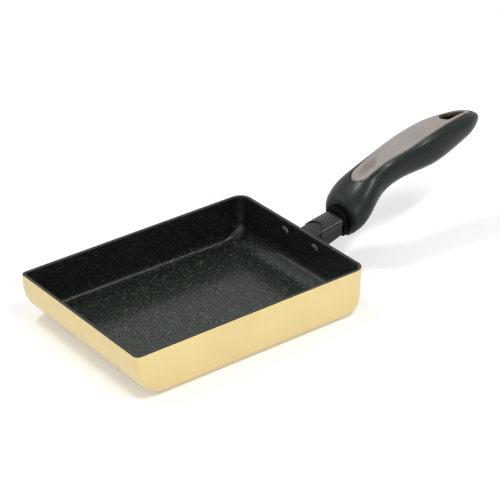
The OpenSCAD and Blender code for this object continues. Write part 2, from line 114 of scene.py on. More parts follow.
class NeckForm(bpy.types.PropertyGroup):
    """Sizes of the rivets, the bracket, its cover and the ring at the grip's mouth."""

    rivet: mm("Rivet", "Diameter of the rivet shanks", 5, 2, 8)
    rivet_head: mm("Rivet head", "Diameter of the heads inside the pan", 9, 5, 14)
    rivet_foot: mm("Rivet foot", "Diameter of the formed heads outside", 8, 5, 14)
    rivet_rise: mm("Rivet rise", "Height of the rivet heads", 1.7, 0.5, 4)
    rivet_spacing: mm("Rivet spacing", "Distance between the rivets", 33, 20, 60)
    rivet_drop: mm("Rivet drop", "Distance from the rim down to the rivets", 9, 4, 20)
    flange: mm("Flange", "Thickness of the flange", 2.5, 1, 5)
    flange_width: mm("Flange width", "Width of the flange", 48, 30, 80)
    flange_height: mm("Flange height", "Height of the flange", 17.5, 10, 30)
    flange_drop: mm("Flange drop", "Distance from the rim to its middle", 10.8, 5, 20)
    flange_corner: mm("Flange corner", "Corner radius of the flange", 6, 1, 8)
    arm_width: mm("Arm width", "Width of the arm", 17, 10, 30)
    arm_root: mm("Arm root", "Depth of the arm at the wall", 16, 8, 30)
    arm_end: mm("Arm end", "Depth of the arm at the grip", 11.6, 6, 30)
    arm_drop: mm("Arm drop", "Distance from the rim to the arm's top", 4.2, 0, 20)
    arm_edge: mm("Arm edge", "Radius of the arm's long edges", 1.7, 0.5, 4)
    arm_slope: angle_property("Arm slope", "Climb of the arm", 9.5)
    arm_arch: mm("Arm arch", "Rise of the arm's arched top", 0.8, 0.2, 2)
    arm_tuck: mm("Arm tuck", "How far the arm runs on inside the grip", 4, 2, 8)
    tang_length: mm("Tang length", "Length of the tang behind the arm", 40, 20, 60)
    tang_width: mm("Tang width", "Width of the tang's tip", 12, 6, 16)
    tang_depth: mm("Tang depth", "Depth of the tang's tip", 8, 4, 12)
    screw_at: mm("Screw at", "Distance along the tang to the screw", 27, 10, 40)
    screw_bore: mm("Screw bore", "Radius of the bore round the screw", 5.25, 3, 7)
    screw_seat: mm("Screw seat", "Distance from the tang's middle to the seat", 6.6, 4, 10)
    length: mm("Neck length", "Distance from the wall to the grip's mouth", 31.5, 10, 60)
    guard_sheet: mm("Cover sheet", "Thickness of the cover's sheet", 0.8, 0.3, 2)
    guard_skirt: mm("Cover skirt", "Depth of the skirts below the arm's top", 4.1, 1, 10)
    guard_start: mm("Cover start", "Distance from the wall to the arc's deepest point", 14.5, 5, 30)
    guard_arc: mm("Cover arc", "Radius of the arc in the cover's front edge", 10.5, 6, 20)
    ring_height: mm("Ring height", "Height of the ring's arch", 18.2, 10, 30)
    ring_width: mm("Ring width", "Width of the ring's arch", 22, 10, 30)
    ring_rise: mm("Ring rise", "Height of the arch's middle above the arm's", 2.2, 0, 5)
    ring_wall: mm("Ring wall", "Wall of the ring under the arm", 1.2, 0.5, 3)
    ring_front: mm("Ring front", "How far the ring stands out of the mouth", 3.4, 1, 6)
    ring_tuck: mm("Ring tuck", "How far the ring runs on inside the grip", 2.6, 1, 5)
    ring_edge: mm("Ring edge", "Chamfer of the ring's front edge", 0.5, 0.1, 1)
    ring_groove: mm("Ring groove", "Width of the groove round the ring", 0.8, 0.2, 2)
    groove_depth: mm("Groove depth", "Depth of the groove round the ring", 1.2, 0.2, 3)


class GripForm(bpy.types.PropertyGroup):
    """Sizes of the moulded grip and its top cover."""

    length: mm("Length", "Length from the mouth to the tip", 127, 80, 200)
    bulb_at: mm("Bulb at", "Distance from the mouth to the bulb", 7, 4, 12)
    bulb_lift: mm("Bulb lift", "Height of the bulb above the mouth", 4.5, 0, 10)
    mouth_rise: mm("Mouth rise", "Height of the mouth's middle above the arm's", 3.7, 0, 10)
    mouth_height: mm("Mouth height", "Height of the mouth", 27.4, 10, 40)
    mouth_width: mm("Mouth width", "Width of the mouth", 33.2, 10, 40)
    mouth_edge: mm("Mouth edge", "Radius of the edge round the mouth", 3.1, 0.2, 5)
    bulb_height: mm("Bulb height", "Height of the bulb", 30.8, 10, 50)
    bulb_width: mm("Bulb width", "Width of the bulb", 37.6, 10, 50)
    waist_at: mm("Waist at", "Distance from the mouth to the waist", 30, 20, 40)
    waist_lift: mm("Waist lift", "Height of the waist above the mouth", 20.7, 10, 30)
    waist_height: mm("Waist height", "Height of the waist", 25.8, 10, 50)
    waist_width: mm("Waist width", "Width of the waist", 27.6, 10, 50)
    palm_at: mm("Palm at", "Distance from the mouth to the palm swell", 83, 60, 100)
    palm_lift: mm("Palm lift", "Height of the palm swell above the mouth", 33.1, 20, 45)
    palm_height: mm("Palm height", "Height of the palm swell", 28.2, 10, 50)
    palm_width: mm("Palm width", "Width of the palm swell", 30.8, 10, 50)
    tail_lift: mm("Tail lift", "Height of the tip above the mouth", 39.4, 25, 50)
    tail_height: mm("Tail height", "Height that the end would have without its rounding", 13, 8, 20)
    tail_width: mm("Tail width", "Width that the end would have without its rounding", 14, 8, 20)
    tail_round: mm("Tail round", "Length of the rounded end", 16.5, 4, 30)
    slot_from_tip: mm("Slot from tip", "Distance from the tip to its round end", 30.5, 20, 50)
    slot_radius: mm("Slot radius", "Radius of the slot's round end", 4.7, 2, 8)
    slot_reach: mm("Slot reach", "Distance between the middles of its two ends", 16.5, 5, 30)
    slot_tip: mm("Slot tip", "Radius of the slot's narrow end", 1.3, 0.5, 4)
    cover_thickness: mm("Cover thickness", "Thickness of the top cover", 2.4, 1, 4)
    seam: mm("Seam", "Width of the seam round the cover", 0.6, 0.2, 1.5)
    cover_start: mm("Cover start", "Distance from the mouth to its front end", 13, 8, 20)
    cover_round: mm("Cover front", "Radius of its front end", 7.3, 4, 10)
    cover_waist_at: mm("Cover waist at", "Distance from the mouth to its waist", 29, 24, 40)
    cover_waist: mm("Cover waist", "Width of the cover at its waist", 15, 10, 20)
    cover_width_at: mm("Cover width at", "Distance from the mouth to its widest place", 57, 45, 75)
    cover_width: mm("Cover width", "Greatest width of the cover", 19.8, 10, 26)
    cover_slot_width: mm("Cover slot width", "Width of the cover beside the slot", 12.6, 12, 20)
    cover_end_gap: mm("Cover end gap", "Distance from the tip to its rear end", 7, 4, 20)
    cover_end_width: mm("Cover end width", "Width of its rear end", 2, 1, 4)
    dish_at: mm("Dish at", "Distance from the mouth to the dish's middle", 25.5, 20, 35)
    dish_front: mm("Dish front", "Reach of the dish towards the mouth", 10.5, 5, 15)
    dish_rear: mm("Dish rear", "Reach of the dish towards the tip", 9, 5, 15)
    dish_side: mm("Dish side", "Half width of the dish", 5.4, 3, 7)
    dish_depth: mm("Dish depth", "Depth of the thumb dish", 1.2, 0, 2)
    lip: mm("Lip", "Rise of the crest along the cover's sides", 0.3, 0, 0.5)


class Finishes(bpy.types.PropertyGroup):
    """Colours of the finishes."""

    gold: colour_property("Gold enamel", "Enamel outside the pan", 232, 208, 143)
    coat: colour_property("Non-stick coat", "Coat inside the pan", 10, 12, 12)
    speckle: colour_property("Speckle", "Stone speckle in the non-stick coat", 150, 160, 136)
    rivet: colour_property("Rivet", "Coated rivet heads", 18, 18, 20)
    bracket: colour_property("Bracket", "Painted cast bracket", 26, 29, 29)
    cover_sheet: colour_property("Neck cover", "Dark steel sheet over the arm", 10, 15, 14)
    ring: colour_property("Ring", "Ring at the grip's mouth", 6, 7, 7)
    grip: colour_property("Grip", "Moulded grip", 14, 21, 18)
    inlay: colour_property("Top cover", "Soft top cover of the grip", 144, 136, 130)
    # Painted shade: the thumb dish is given this darker tone than the rest of the cover.
    shaded_dish_tone: colour_property("Painted dish shade", "Tone of the cover down in the thumb dish", 122, 108, 99)
    # Painted shade: the slot's inner faces in the top cover are given this dark tone.
    slot_shade_tone: colour_property("Painted slot shade", "Inner face of the slot in the top cover", 92, 72, 60)
    steel: colour_property("Screw steel", "Screw and washer", 176, 178, 180)


class Studio(bpy.types.PropertyGroup):
    """Camera, floor and light."""

    camera_place: FloatVectorProperty(
        name="Camera place", description="Where the camera stands",
        default=(-0.68874, -1.02317, 0.72818), size=3, subtype="TRANSLATION", unit="LENGTH",
    )
    camera_turn: FloatVectorProperty(
        name="Camera turn", description="How the camera is turned",
        default=[math.radians(a) for a in (61.1201, 1.4361, -36.512)], size=3, subtype="EULER",
    )
    focal_length: FloatProperty(
        name="Focal length", description="Focal length for a 36 mm wide film",
        default=152.98, min=20, max=300, unit="CAMERA",
    )
    floor: colour_property("Floor", "Colour of the floor", 236, 236, 236)
    floor_radius: mm("Floor radius", "Radius of the round floor", 1200, 500, 5000)
    key_power: level_property("Key power", "Power of the small lamp overhead", 5.2)
    side_power: level_property("Side power", "Power of the long lamp at the handle's side", 7.5)
    fill_power: level_property("Fill power", "Power of the wide lamp before the pan", 8.0)
    rim_power: level_property("Rim power", "Power of the lamp behind the pan", 0.6)
    sky: level_property("Sky", "Level of the even light from all round", 0.47)
    lift: level_property("Floor lift", "Light that the floor adds where it is seen", 0.22)


# ------------------------------------------------------------------ shapes shared by the pieces


def knot_slope(knots, i):
    """Slope of the smooth curve through the knots, at knot i."""
    slopes = [(b[1] - a[1]) / (b[0] - a[0]) for a, b in zip(knots, knots[1:])]
    if i in (0, len(knots) - 1):
        return slopes[min(i, len(slopes) - 1)]
    back, ahead = knots[i][0] - knots[i - 1][0], knots[i + 1][0] - knots[i][0]
    return (slopes[i - 1] * ahead + slopes[i] * back) / (back + ahead)


def smooth_curve(knots, x):
    """Value at x of the smooth curve through (place, value) knots."""
    i = 0
    while i < len(knots) - 2 and x > knots[i + 1][0]:
        i += 1
    span = knots[i + 1][0] - knots[i][0]
    t = (x - knots[i][0]) / span
    return (
        (1 + 2 * t) * (1 - t) ** 2 * knots[i][1]
        + t * (1 - t) ** 2 * span * knot_slope(knots, i)
        + t * t * (3 - 2 * t) * knots[i + 1][1]
        + t * t * (t - 1) * span * knot_slope(knots, i + 1)
    )


def quarter(steps, first=0):
    """Angles of a quarter turn in even steps, from step number first on."""
    return [math.pi / 2 * step / steps for step in range(first, steps + 1)]


def rounded_outline(half_width, half_height, radius, front_radius, steps):
    """Points of a rectangle with round corners, from +x turning towards +y."""
    points = []
    for side in range(4):
        right = side in (0, 3)
        r = radius if right else front_radius
        cx = half_width - r if right else r - half_width
        cy = half_height - r if side < 2 else r - half_height
        for step in range(steps + 1):
            a = math.pi / 2 * (side + step / steps)
            points.append((cx + r * math.cos(a), cy + r * math.sin(a)))
    return points


def grow(mesh, edges):
    """Extrudes a ring of edges, and returns its new points and its new edges."""
    grown = bmesh.ops.extrude_edge_only(mesh, edges=edges)["geom"]
    fresh = {g for g in grown if isinstance(g, bmesh.types.BMVert)}
    return fresh, [
        g for g in grown
        if isinstance(g, bmesh.types.BMEdge) and g.verts[0] in fresh and g.verts[1] in fresh
    ]


def loft(mesh, rings):
    """Draws a tube: a circle is set on the first ring of points and extruded to each next one.

    Returns the edges of the first and of the last ring. Each point keeps its place in the ring
    and its row.
    """
    layers = mesh.verts.layers.int
    place, row = (layers.get(name) or layers.new(name) for name in ("place", "row"))
    circle = bmesh.ops.create_circle(mesh, cap_ends=False, segments=len(rings[0]), radius=1.0)
    for i, vert in enumerate(circle["verts"]):
        vert.co = rings[0][i]
        vert[place] = i
        vert[row] = 0
    first = list({edge for vert in circle["verts"] for edge in vert.link_edges})
    edges = first
    for r, ring in enumerate(rings[1:], 1):
        fresh, edges = grow(mesh, edges)
        for vert in fresh:
            vert.co = ring[vert[place]]
            vert[row] = r
    return first, edges


def cap(mesh, edges, margins=()):
    """Closes a ring of edges with a face, and insets borders that keep its shading flat."""
    face = bmesh.ops.contextual_create(mesh, geom=edges)["faces"][0]
    for margin in margins:
        bmesh.ops.inset_individual(mesh, faces=[face], thickness=margin, use_even_offset=True)
    return face


def finish_piece(name, mesh, materials, node, sharp=40.0):
    """Turns a bmesh into a piece of the object that stands for a node of the frame."""
    bmesh.ops.remove_doubles(mesh, verts=mesh.verts, dist=1e-6)
    bmesh.ops.recalc_face_normals(mesh, faces=mesh.faces)
    data = bpy.data.meshes.new(name)
    mesh.to_mesh(data)
    mesh.free()
    for material in materials:
        data.materials.append(material)
    data.shade_smooth()
    data.set_sharp_from_angle(angle=math.radians(sharp))
    piece = bpy.data.objects.new(name, data)
    bpy.context.scene.collection.objects.link(piece)
    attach(piece, "root")
    if node:
        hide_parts(node)
    return piece


# ------------------------------------------------------------------ finishes


def shade(colour, factor):
    """A lighter or darker tone of a colour."""
    return tuple(min(1.0, c * factor) for c in tuple(colour)[:3])


def feed(tree, socket, value):
    """Gives a socket another node's output, or a value of its own."""
    if isinstance(value, bpy.types.NodeSocket):
        tree.links.new(value, socket)
    else:
        socket.default_value = value


def combine(tree, operation, first, second):
    """Output of a math node on two values."""
    node = tree.nodes.new("ShaderNodeMath")
    node.operation = operation
    feed(tree, node.inputs[0], first)
    feed(tree, node.inputs[1], second)
    return node.outputs[0]


class Finish:
    """A material's node tree, with the few kinds of node that the finishes share."""

    def __init__(self, name, colour, roughness, metallic=0.0, **values):
        self.material = bpy.data.materials.new(name)
        self.material.use_nodes = True
        self.tree = self.material.node_tree
        self.shader = self.tree.nodes["Principled BSDF"]
        self.place = self.tree.nodes.new("ShaderNodeTexCoord").outputs["Object"]
        values.update(Base_Color=tuple(colour) + (1.0,), Roughness=roughness, Metallic=metallic)
        for socket, value in values.items():
            self.shader.inputs[socket.replace("_", " ")].default_value = value

    def link(self, source, socket):
        self.tree.links.new(source, self.shader.inputs[socket])

    def node(self, kind, **inputs):
        """A new node with values or links for its inputs, named with _ for each space."""
        node = self.tree.nodes.new("ShaderNode" + kind)
        for name, value in inputs.items():
            feed(self.tree, node.inputs[name.replace("_", " ")], value)
        return node

    def attribute(self, name):
        node = self.node("Attribute")
        node.attribute_name = name
        return node.outputs["Fac"]

    def height(self):
        return self.node("SeparateXYZ", Vector=self.place).outputs["Z"]

    def noise(self, scale, detail=2.0, rough=0.5, stretch=None):
        place = self.place
        if stretch:
            place = self.node("Mapping", Vector=place, Scale=stretch).outputs["Vector"]
        node = self.node("TexNoise", Vector=place, Scale=scale, Detail=detail, Roughness=rough)
        return node.outputs["Fac"]

    def cells(self, scale, feature="F1", output="Distance"):
        node = self.node("TexVoronoi", Vector=self.place, Scale=scale)
        node.feature = feature
        return node.outputs[output]

    def tones(self, source, colour, low, dark, high, light):
        """The colour in a dark tone where the source is at low, and a light one at high."""
        node = self.node("ValToRGB", Fac=source)
        stops = ((low, dark), (high, light))
        for element, (where, factor) in zip(node.color_ramp.elements, stops):
            element.position = where
            element.color = shade(colour, factor) + (1.0,)
        return node.outputs["Color"]

    def spread(self, source, low, high, to_low, to_high):
        node = self.node(
            "MapRange", Value=source, From_Min=low, From_Max=high, To_Min=to_low, To_Max=to_high
        )
        return node.outputs["Result"]

    def blend(self, share, first, second):
        """Mixes a first colour, from a node, with a second one that is written here."""
        node = self.tree.nodes.new("ShaderNodeMix")
        node.data_type = "RGBA"
        factor, colours = node.inputs["Factor"], [i for i in node.inputs if i.type == "RGBA"]
        feed(self.tree, factor, share)
        feed(self.tree, colours[0], first)
        feed(self.tree, colours[1], tuple(second) + (1.0,))
        return next(o for o in node.outputs if o.type == "RGBA")

    def combine(self, operation, first, second):
        return combine(self.tree, operation, first, second)

    def bump(self, height, strength, distance):
        """Links the bump, which is the last step of a finish, and returns the finished material."""
        node = self.node("Bump", Strength=strength, Distance=distance, Height=height)
        self.link(node.outputs["Normal"], "Normal")
        return self.material

    def rough(self, source, to_low, to_high):
        """Lets the roughness follow a noise."""
        self.link(self.spread(source, 0.3, 0.7, to_low, to_high), "Roughness")


def gold_enamel(finishes):
    finish = Finish(
        "gold_enamel", finishes.gold, 0.36,
        Coat_Weight=0.25, Coat_Roughness=0.22, Specular_IOR_Level=0.45,
    )
    tone = finish.tones(finish.noise(22.0, 3.0), finishes.gold, 0.35, 0.965, 0.65, 1.03)
    # The enamel's flakes are painted as pale flecks: painted glints.
    flakes = finish.cells(2600.0, output="Color")
    sparkle = finish.spread(flakes, 0.35, 0.95, 0.0, 0.07)
    finish.link(finish.blend(sparkle, tone, (1.0, 0.93, 0.74)), "Base Color")
    finish.rough(finish.noise(60.0), 0.33, 0.41)
    return finish.bump(finish.noise(900.0, 1.5), 0.10, 0.00008)


def speckled_coat(finishes):
    finish = Finish(
        "speckled_coat", finishes.coat, 0.40,
        Specular_IOR_Level=0.20, Specular_Tint=(0.84, 1.0, 0.86, 1.0),
        Coat_Weight=0.4, Coat_Roughness=0.16, Coat_IOR=1.4, Coat_Tint=(0.9, 1.0, 0.92, 1.0),
    )
    cloud = finish.tones(finish.noise(160.0, 5.0, 0.62), finishes.coat, 0.36, 0.62, 0.62, 1.35)
    fine = finish.spread(finish.cells(820.0), 0.20, 0.42, 1.0, 0.0)
    few = finish.spread(finish.noise(380.0), 0.40, 0.60, 0.05, 0.32)
    coarse = finish.spread(finish.cells(430.0), 0.13, 0.24, 1.0, 0.0)
    rare = finish.spread(finish.noise(260.0), 0.50, 0.62, 0.0, 0.7)
    grain = finish.combine("MULTIPLY", fine, few)
    chips = finish.combine("MULTIPLY", coarse, rare)
    # The specks are painted fainter up the walls than on the pan's floor: painted shade, since the
    # walls take less light.
    level = finish.spread(finish.height(), 0.003, 0.010, 1.0, 0.3)
    share = finish.combine("MULTIPLY", finish.combine("MAXIMUM", grain, chips), level)
    finish.link(finish.blend(share, cloud, finishes.speckle), "Base Color")
    finish.rough(finish.noise(420.0, 3.0), 0.36, 0.50)
    return finish.bump(finish.noise(1100.0, 3.0, 0.6), 0.28, 0.00010)


def coated_rivet(finishes):
    finish = Finish("coated_rivet", finishes.rivet, 0.24, Specular_IOR_Level=0.6)
    tone = finish.tones(finish.noise(900.0, 4.0), finishes.rivet, 0.38, 0.7, 0.66, 1.35)
    finish.link(tone, "Base Color")
    return finish.bump(finish.noise(1500.0), 0.18, 0.00006)


def cast_paint(finishes):
    finish = Finish("cast_paint", finishes.bracket, 0.42, Specular_IOR_Level=0.28)
    tone = finish.tones(finish.noise(90.0, 4.0), finishes.bracket, 0.34, 0.82, 0.68, 1.18)
    finish.link(tone, "Base Color")
    finish.rough(finish.noise(300.0), 0.40, 0.54)
    return finish.bump(finish.noise(950.0, 3.0, 0.6), 0.35, 0.00012)


def dark_sheet(finishes):
    finish = Finish("dark_sheet", finishes.cover_sheet, 0.2, Specular_IOR_Level=0.42)
    strokes = finish.noise(700.0, 4.0, 0.6, (0.05, 1.0, 1.0))
    finish.link(finish.tones(strokes, finishes.cover_sheet, 0.30, 0.8, 0.70, 1.25), "Base Color")
    finish.rough(strokes, 0.22, 0.32)
    return finish.bump(strokes, 0.12, 0.00005)


def black_ring(finishes):
    finish = Finish("black_ring", finishes.ring, 0.5, Specular_IOR_Level=0.06)
    tone = finish.tones(finish.noise(500.0, 3.0), finishes.ring, 0.3, 0.7, 0.7, 1.3)
    finish.link(tone, "Base Color")
    return finish.bump(finish.noise(1400.0), 0.2, 0.00006)


def moulded_grip(finishes):
    finish = Finish(
        "moulded_grip", finishes.grip, 0.32,
        Specular_IOR_Level=0.30, Specular_Tint=(0.88, 1.0, 0.95, 1.0),
    )
    tone = finish.tones(finish.noise(70.0, 3.0), finishes.grip, 0.34, 0.9, 0.66, 1.1)
    finish.link(tone, "Base Color")
    finish.rough(finish.noise(240.0), 0.28, 0.36)
    return finish.bump(finish.cells(1900.0, feature="SMOOTH_F1"), 0.16, 0.00009)


def soft_cover(finishes):
    finish = Finish(
        "soft_cover", finishes.inlay, 0.50,
        Specular_IOR_Level=0.42, Sheen_Weight=0.08, Sheen_Roughness=0.4,
    )
    tone = finish.tones(finish.noise(38.0, 4.0, 0.55), finishes.inlay, 0.32, 0.93, 0.68, 1.07)
    # The thumb dish is painted in a darker tone: painted shade of its hollow.
    finish.link(finish.blend(finish.attribute("hollow"), tone, finishes.shaded_dish_tone), "Base Color")
    finish.rough(finish.noise(300.0), 0.45, 0.56)
    return finish.bump(finish.noise(1700.0, 3.0, 0.6), 0.22, 0.00008)


# The slot's inner faces are painted dark brown: painted shade inside the slot.
def slot_lining(finishes):
    finish = Finish("slot_lining", finishes.slot_shade_tone, 0.55, Specular_IOR_Level=0.2)
    tone = finish.tones(finish.noise(240.0, 3.0), finishes.slot_shade_tone, 0.34, 0.8, 0.66, 1.2)
    finish.link(tone, "Base Color")
    return finish.bump(finish.noise(1500.0), 0.2, 0.00006)


def plated_steel(finishes):
    finish = Finish("plated_steel", finishes.steel, 0.28, 1.0)
    turned = finish.noise(1200.0, 3.0, 0.6)
    finish.link(finish.tones(turned, finishes.steel, 0.3, 0.8, 0.7, 1.15), "Base Color")
    finish.rough(turned, 0.22, 0.38)
    return finish.bump(turned, 0.15, 0.00004)


# ------------------------------------------------------------------ the pan

FLAT_BORDERS = (0.0006, 0.002)  # borders inset in the pan's flat faces

def wall_inset(pan, z, lean, sweep, base):
    """How far a wall lies inside the rim at height z: it leans, then sweeps into a foot at base."""
    foot = (pan.height - base - sweep) * math.tan(lean) + sweep / math.cos(lean)
    up = z - base
    if up >= sweep * (1 - math.sin(lean)):
        return (pan.height - z) * math.tan(lean)
    return foot - math.sqrt(max(0.0, sweep**2 - (sweep - up) ** 2))


def pan_ring(pan, z, base, deep, foot_corner, round_in=0.0, steps=14):
    """One ring of the pan at height z, the skin's thickness deep inside the outer face."""
    front = wall_inset(pan, z, 0.0, pan.front_sweep - deep, base) + deep + round_in
    back = wall_inset(pan, z, pan.handle_lean, pan.handle_sweep - deep, base)
    back += deep / math.cos(pan.handle_lean) + round_in
    side = wall_inset(pan, z, pan.side_lean, pan.side_sweep - deep, base)
    side += deep / math.cos(pan.side_lean) + round_in
    low = ((pan.height - z) / (pan.height - base)) ** 2
    radius = (pan.rim_corner - deep) * (1 - low) + foot_corner * low
    front_radius = (pan.front_corner - deep) * (1 - low) + foot_corner * low
    x0, x1 = front - pan.rim_length / 2, pan.rim_length / 2 - back
    middle = (x0 + x1) / 2
    outline = rounded_outline((x1 - x0) / 2, pan.rim_width / 2 - side, radius, front_radius, steps)
    return [Vector((middle + x, y, z)) for x, y in outline]


class PAN_OT_pressed_pan(bpy.types.Operator):
    """Pressed pan with gold enamel outside and a speckled coat inside"""

    bl_idname = "omelette.pressed_pan"
    bl_label = "Pressed Pan"

    def execute(self, context):
        pan = context.scene.pan_form

        def skin(z, inside, inset=0.0):
            if inside:
                return pan_ring(pan, z, pan.floor, pan.wall, pan.floor_corner, -inset)
            return pan_ring(pan, z, 0.0, 0.0, pan.foot_corner, inset)

        levels = 34
        coat_from = levels + 3  # the coat begins on the rim's outer rounding
        shares = [(k / levels) ** 2 for k in range(levels + 1)]
        straight = pan.height - pan.rim_edge
        rim = [
            (pan.height - pan.rim_edge * (1 - math.sin(a)), pan.rim_edge * (1 - math.cos(a)))
            for a in quarter(6, 1)
        ]
        rows = [skin(straight * share, False) for share in shares]
        rows += [skin(z, False, inset) for z, inset in rim]
        rows += [skin(z, True, inset) for z, inset in reversed(rim)]
        rows += [
            skin(pan.floor + (straight - pan.floor) * share, True) for share in reversed(shares)
        ]
        mesh = bmesh.new()
        bottom, top = loft(mesh, rows)
        row = mesh.verts.layers.int["row"]
        middles = [cap(mesh, edges, FLAT_BORDERS) for edges in (bottom, top)]
        for face in mesh.faces:
            face.material_index = int(min(vert[row] for vert in face.verts) >= coat_from)
        for index, middle in enumerate(middles):
            for face in (middle, *[f for e in middle.edges for f in e.link_faces]):
                face.material_index = index
        finishes = context.scene.pan_finishes
        finish_piece(
            "pressed_pan", mesh, [gold_enamel(finishes), speckled_coat(finishes)],
            "pan_body", 50.0,
        )
        return {"FINISHED"}


def wall_place(context):
    """The handle wall's own frame: x out of the wall, y across, z up to the rim."""
    pan = context.scene.pan_form
    rim = Matrix.Translation((pan.rim_length / 2, 0.0, pan.height))
    return rim @ Matrix.Rotation(pan.handle_lean, 4, "Y")


class PAN_OT_rivets(bpy.types.Operator):
    """The two rivets, turned from one outline"""

    bl_idname = "omelette.rivets"
    bl_label = "Rivets"

    def execute(self, context):
        pan, neck = context.scene.pan_form, context.scene.neck_form
        material = coated_rivet(context.scene.pan_finishes)
        turns = quarter(8)
        rise = neck.rivet_rise
        outline = [
            (-pan.wall - rise * math.cos(a), neck.rivet_head / 2 * math.sin(a)) for a in turns
        ]
        outline += [(-pan.wall, neck.rivet / 2), (neck.flange, neck.rivet / 2)]
        outline += [
            (neck.flange + rise * math.cos(a), neck.rivet_foot / 2 * math.sin(a))
            for a in reversed(turns)
        ]
        for name, side in (("rivet_left", 1), ("rivet_right", -1)):
            mesh = bmesh.new()
            points = [mesh.verts.new((x, r, 0.0)) for x, r in outline]
            edges = [mesh.edges.new(pair) for pair in zip(points, points[1:])]
            bmesh.ops.spin(
                mesh, geom=points + edges, cent=(0, 0, 0), axis=(1, 0, 0), angle=2 * math.pi,
                steps=48, use_merge=True,
            )
            place = wall_place(context) @ Matrix.Translation(
                (0.0, side * neck.rivet_spacing / 2, -neck.rivet_drop)
            )
            bmesh.ops.transform(mesh, matrix=place, verts=mesh.verts)
            finish_piece(name + "_turned", mesh, [material], name)
        return {"FINISHED"}


# ------------------------------------------------------------------ the neck

FIT = 0.0001  # play between a piece and the one that it sits in
FLANGE_EDGE = 0.0008  # radius of the flange's front edge
FLARE = 0.0014  # radius where the arm runs into the flange
FLARE_SUNK = 0.0012  # how deep that radius begins inside the flange
ARM_FROM = 0.004  # where the arm's straight part begins
ARM_CHAMFER = 0.0004  # step of the arm's end
TANG_EDGE, TANG_ARCH = 0.0008, 0.00001  # corner radius and arch of the tang's tip
COVER_TUCK = 0.003  # how far the cover runs on inside the grip


def arm_middle(context, out):
    """Top height and depth of the arm at a distance out from the rim."""
    pan, neck = context.scene.pan_form, context.scene.neck_form
    depth = neck.arm_root + (neck.arm_end - neck.arm_root) * out / neck.length
    top = pan.height - neck.arm_drop + out * math.tan(neck.arm_slope)
    return top, depth


def arch_over(half_width, radius, arch):
    """Radius of an arch that runs smoothly into two round corners, and its half angle."""
    flat = half_width - radius
    extra = (flat**2 + arch**2) / (2 * arch)
    return extra + radius, math.asin(flat / extra)


def arched_outline(half_width, half_height, radius, arch, steps=7, across=10):
    """Rectangle with round corners and an arched top, from +x over the top and back below."""
    big, turn = arch_over(half_width, radius, arch)
    flat, level = half_width - radius, half_height - radius
    corner = [
        (flat + radius * math.cos(a), level + radius * math.sin(a))
        for a in ((math.pi / 2 - turn) * k / steps for k in range(steps + 1))
    ]
    crown = [
        (big * math.sin(a), half_height + arch - big + big * math.cos(a))
        for a in (turn * (1 - 2 * k / across) for k in range(1, across))
    ]
    upper = corner + crown + [(-x, z) for x, z in reversed(corner)]
    low = [
        (flat + radius * math.cos(a), -level + radius * math.sin(a))
        for a in (-math.pi / 2 * k / steps for k in range(steps + 1))
    ]
    return upper + [(-x, z) for x, z in low] + low[::-1]


def arm_ring(context, out, margin):
    """One ring round the arm, grown by a margin."""
    pan, neck = context.scene.pan_form, context.scene.neck_form
    top, depth = arm_middle(context, out)
    outline = arched_outline(
        neck.arm_width / 2 + margin, depth / 2 + margin, neck.arm_edge + margin, neck.arm_arch
    )
    return [Vector((pan.rim_length / 2 + out, y, top - depth / 2 + z)) for y, z in outline]


def arm_end_middle(context):
    """Height of the arm's middle at the grip's mouth."""
    pan, neck = context.scene.pan_form, context.scene.neck_form
    top = pan.height - neck.arm_drop + neck.length * math.tan(neck.arm_slope)
    return top - neck.arm_end / 2 / math.cos(neck.arm_slope)


def mouth_place(context):
    """Middle of the grip's mouth."""
    pan, neck, grip = context.scene.pan_form, context.scene.neck_form, context.scene.grip_form
    middle = arm_end_middle(context) + grip.mouth_rise
    return Vector((pan.rim_length / 2 + neck.length, 0.0, middle))


def tang_place(context):
    """The tang's own frame, where it leaves the arm: x runs along the tang to the grip's waist."""
    pan, neck = context.scene.pan_form, context.scene.neck_form
    out = neck.length + neck.arm_tuck - 0.001
    top, depth = arm_middle(context, out)
    root = Vector((pan.rim_length / 2 + out, 0.0, top - depth / 2))
    grip = context.scene.grip_form
    waist = mouth_place(context) + Vector((grip.waist_at, 0.0, grip.waist_lift))
    slope = math.atan2(waist.z - root.z, waist.x - root.x)
    return Matrix.Translation(root) @ Matrix.Rotation(-slope, 4, "Y")


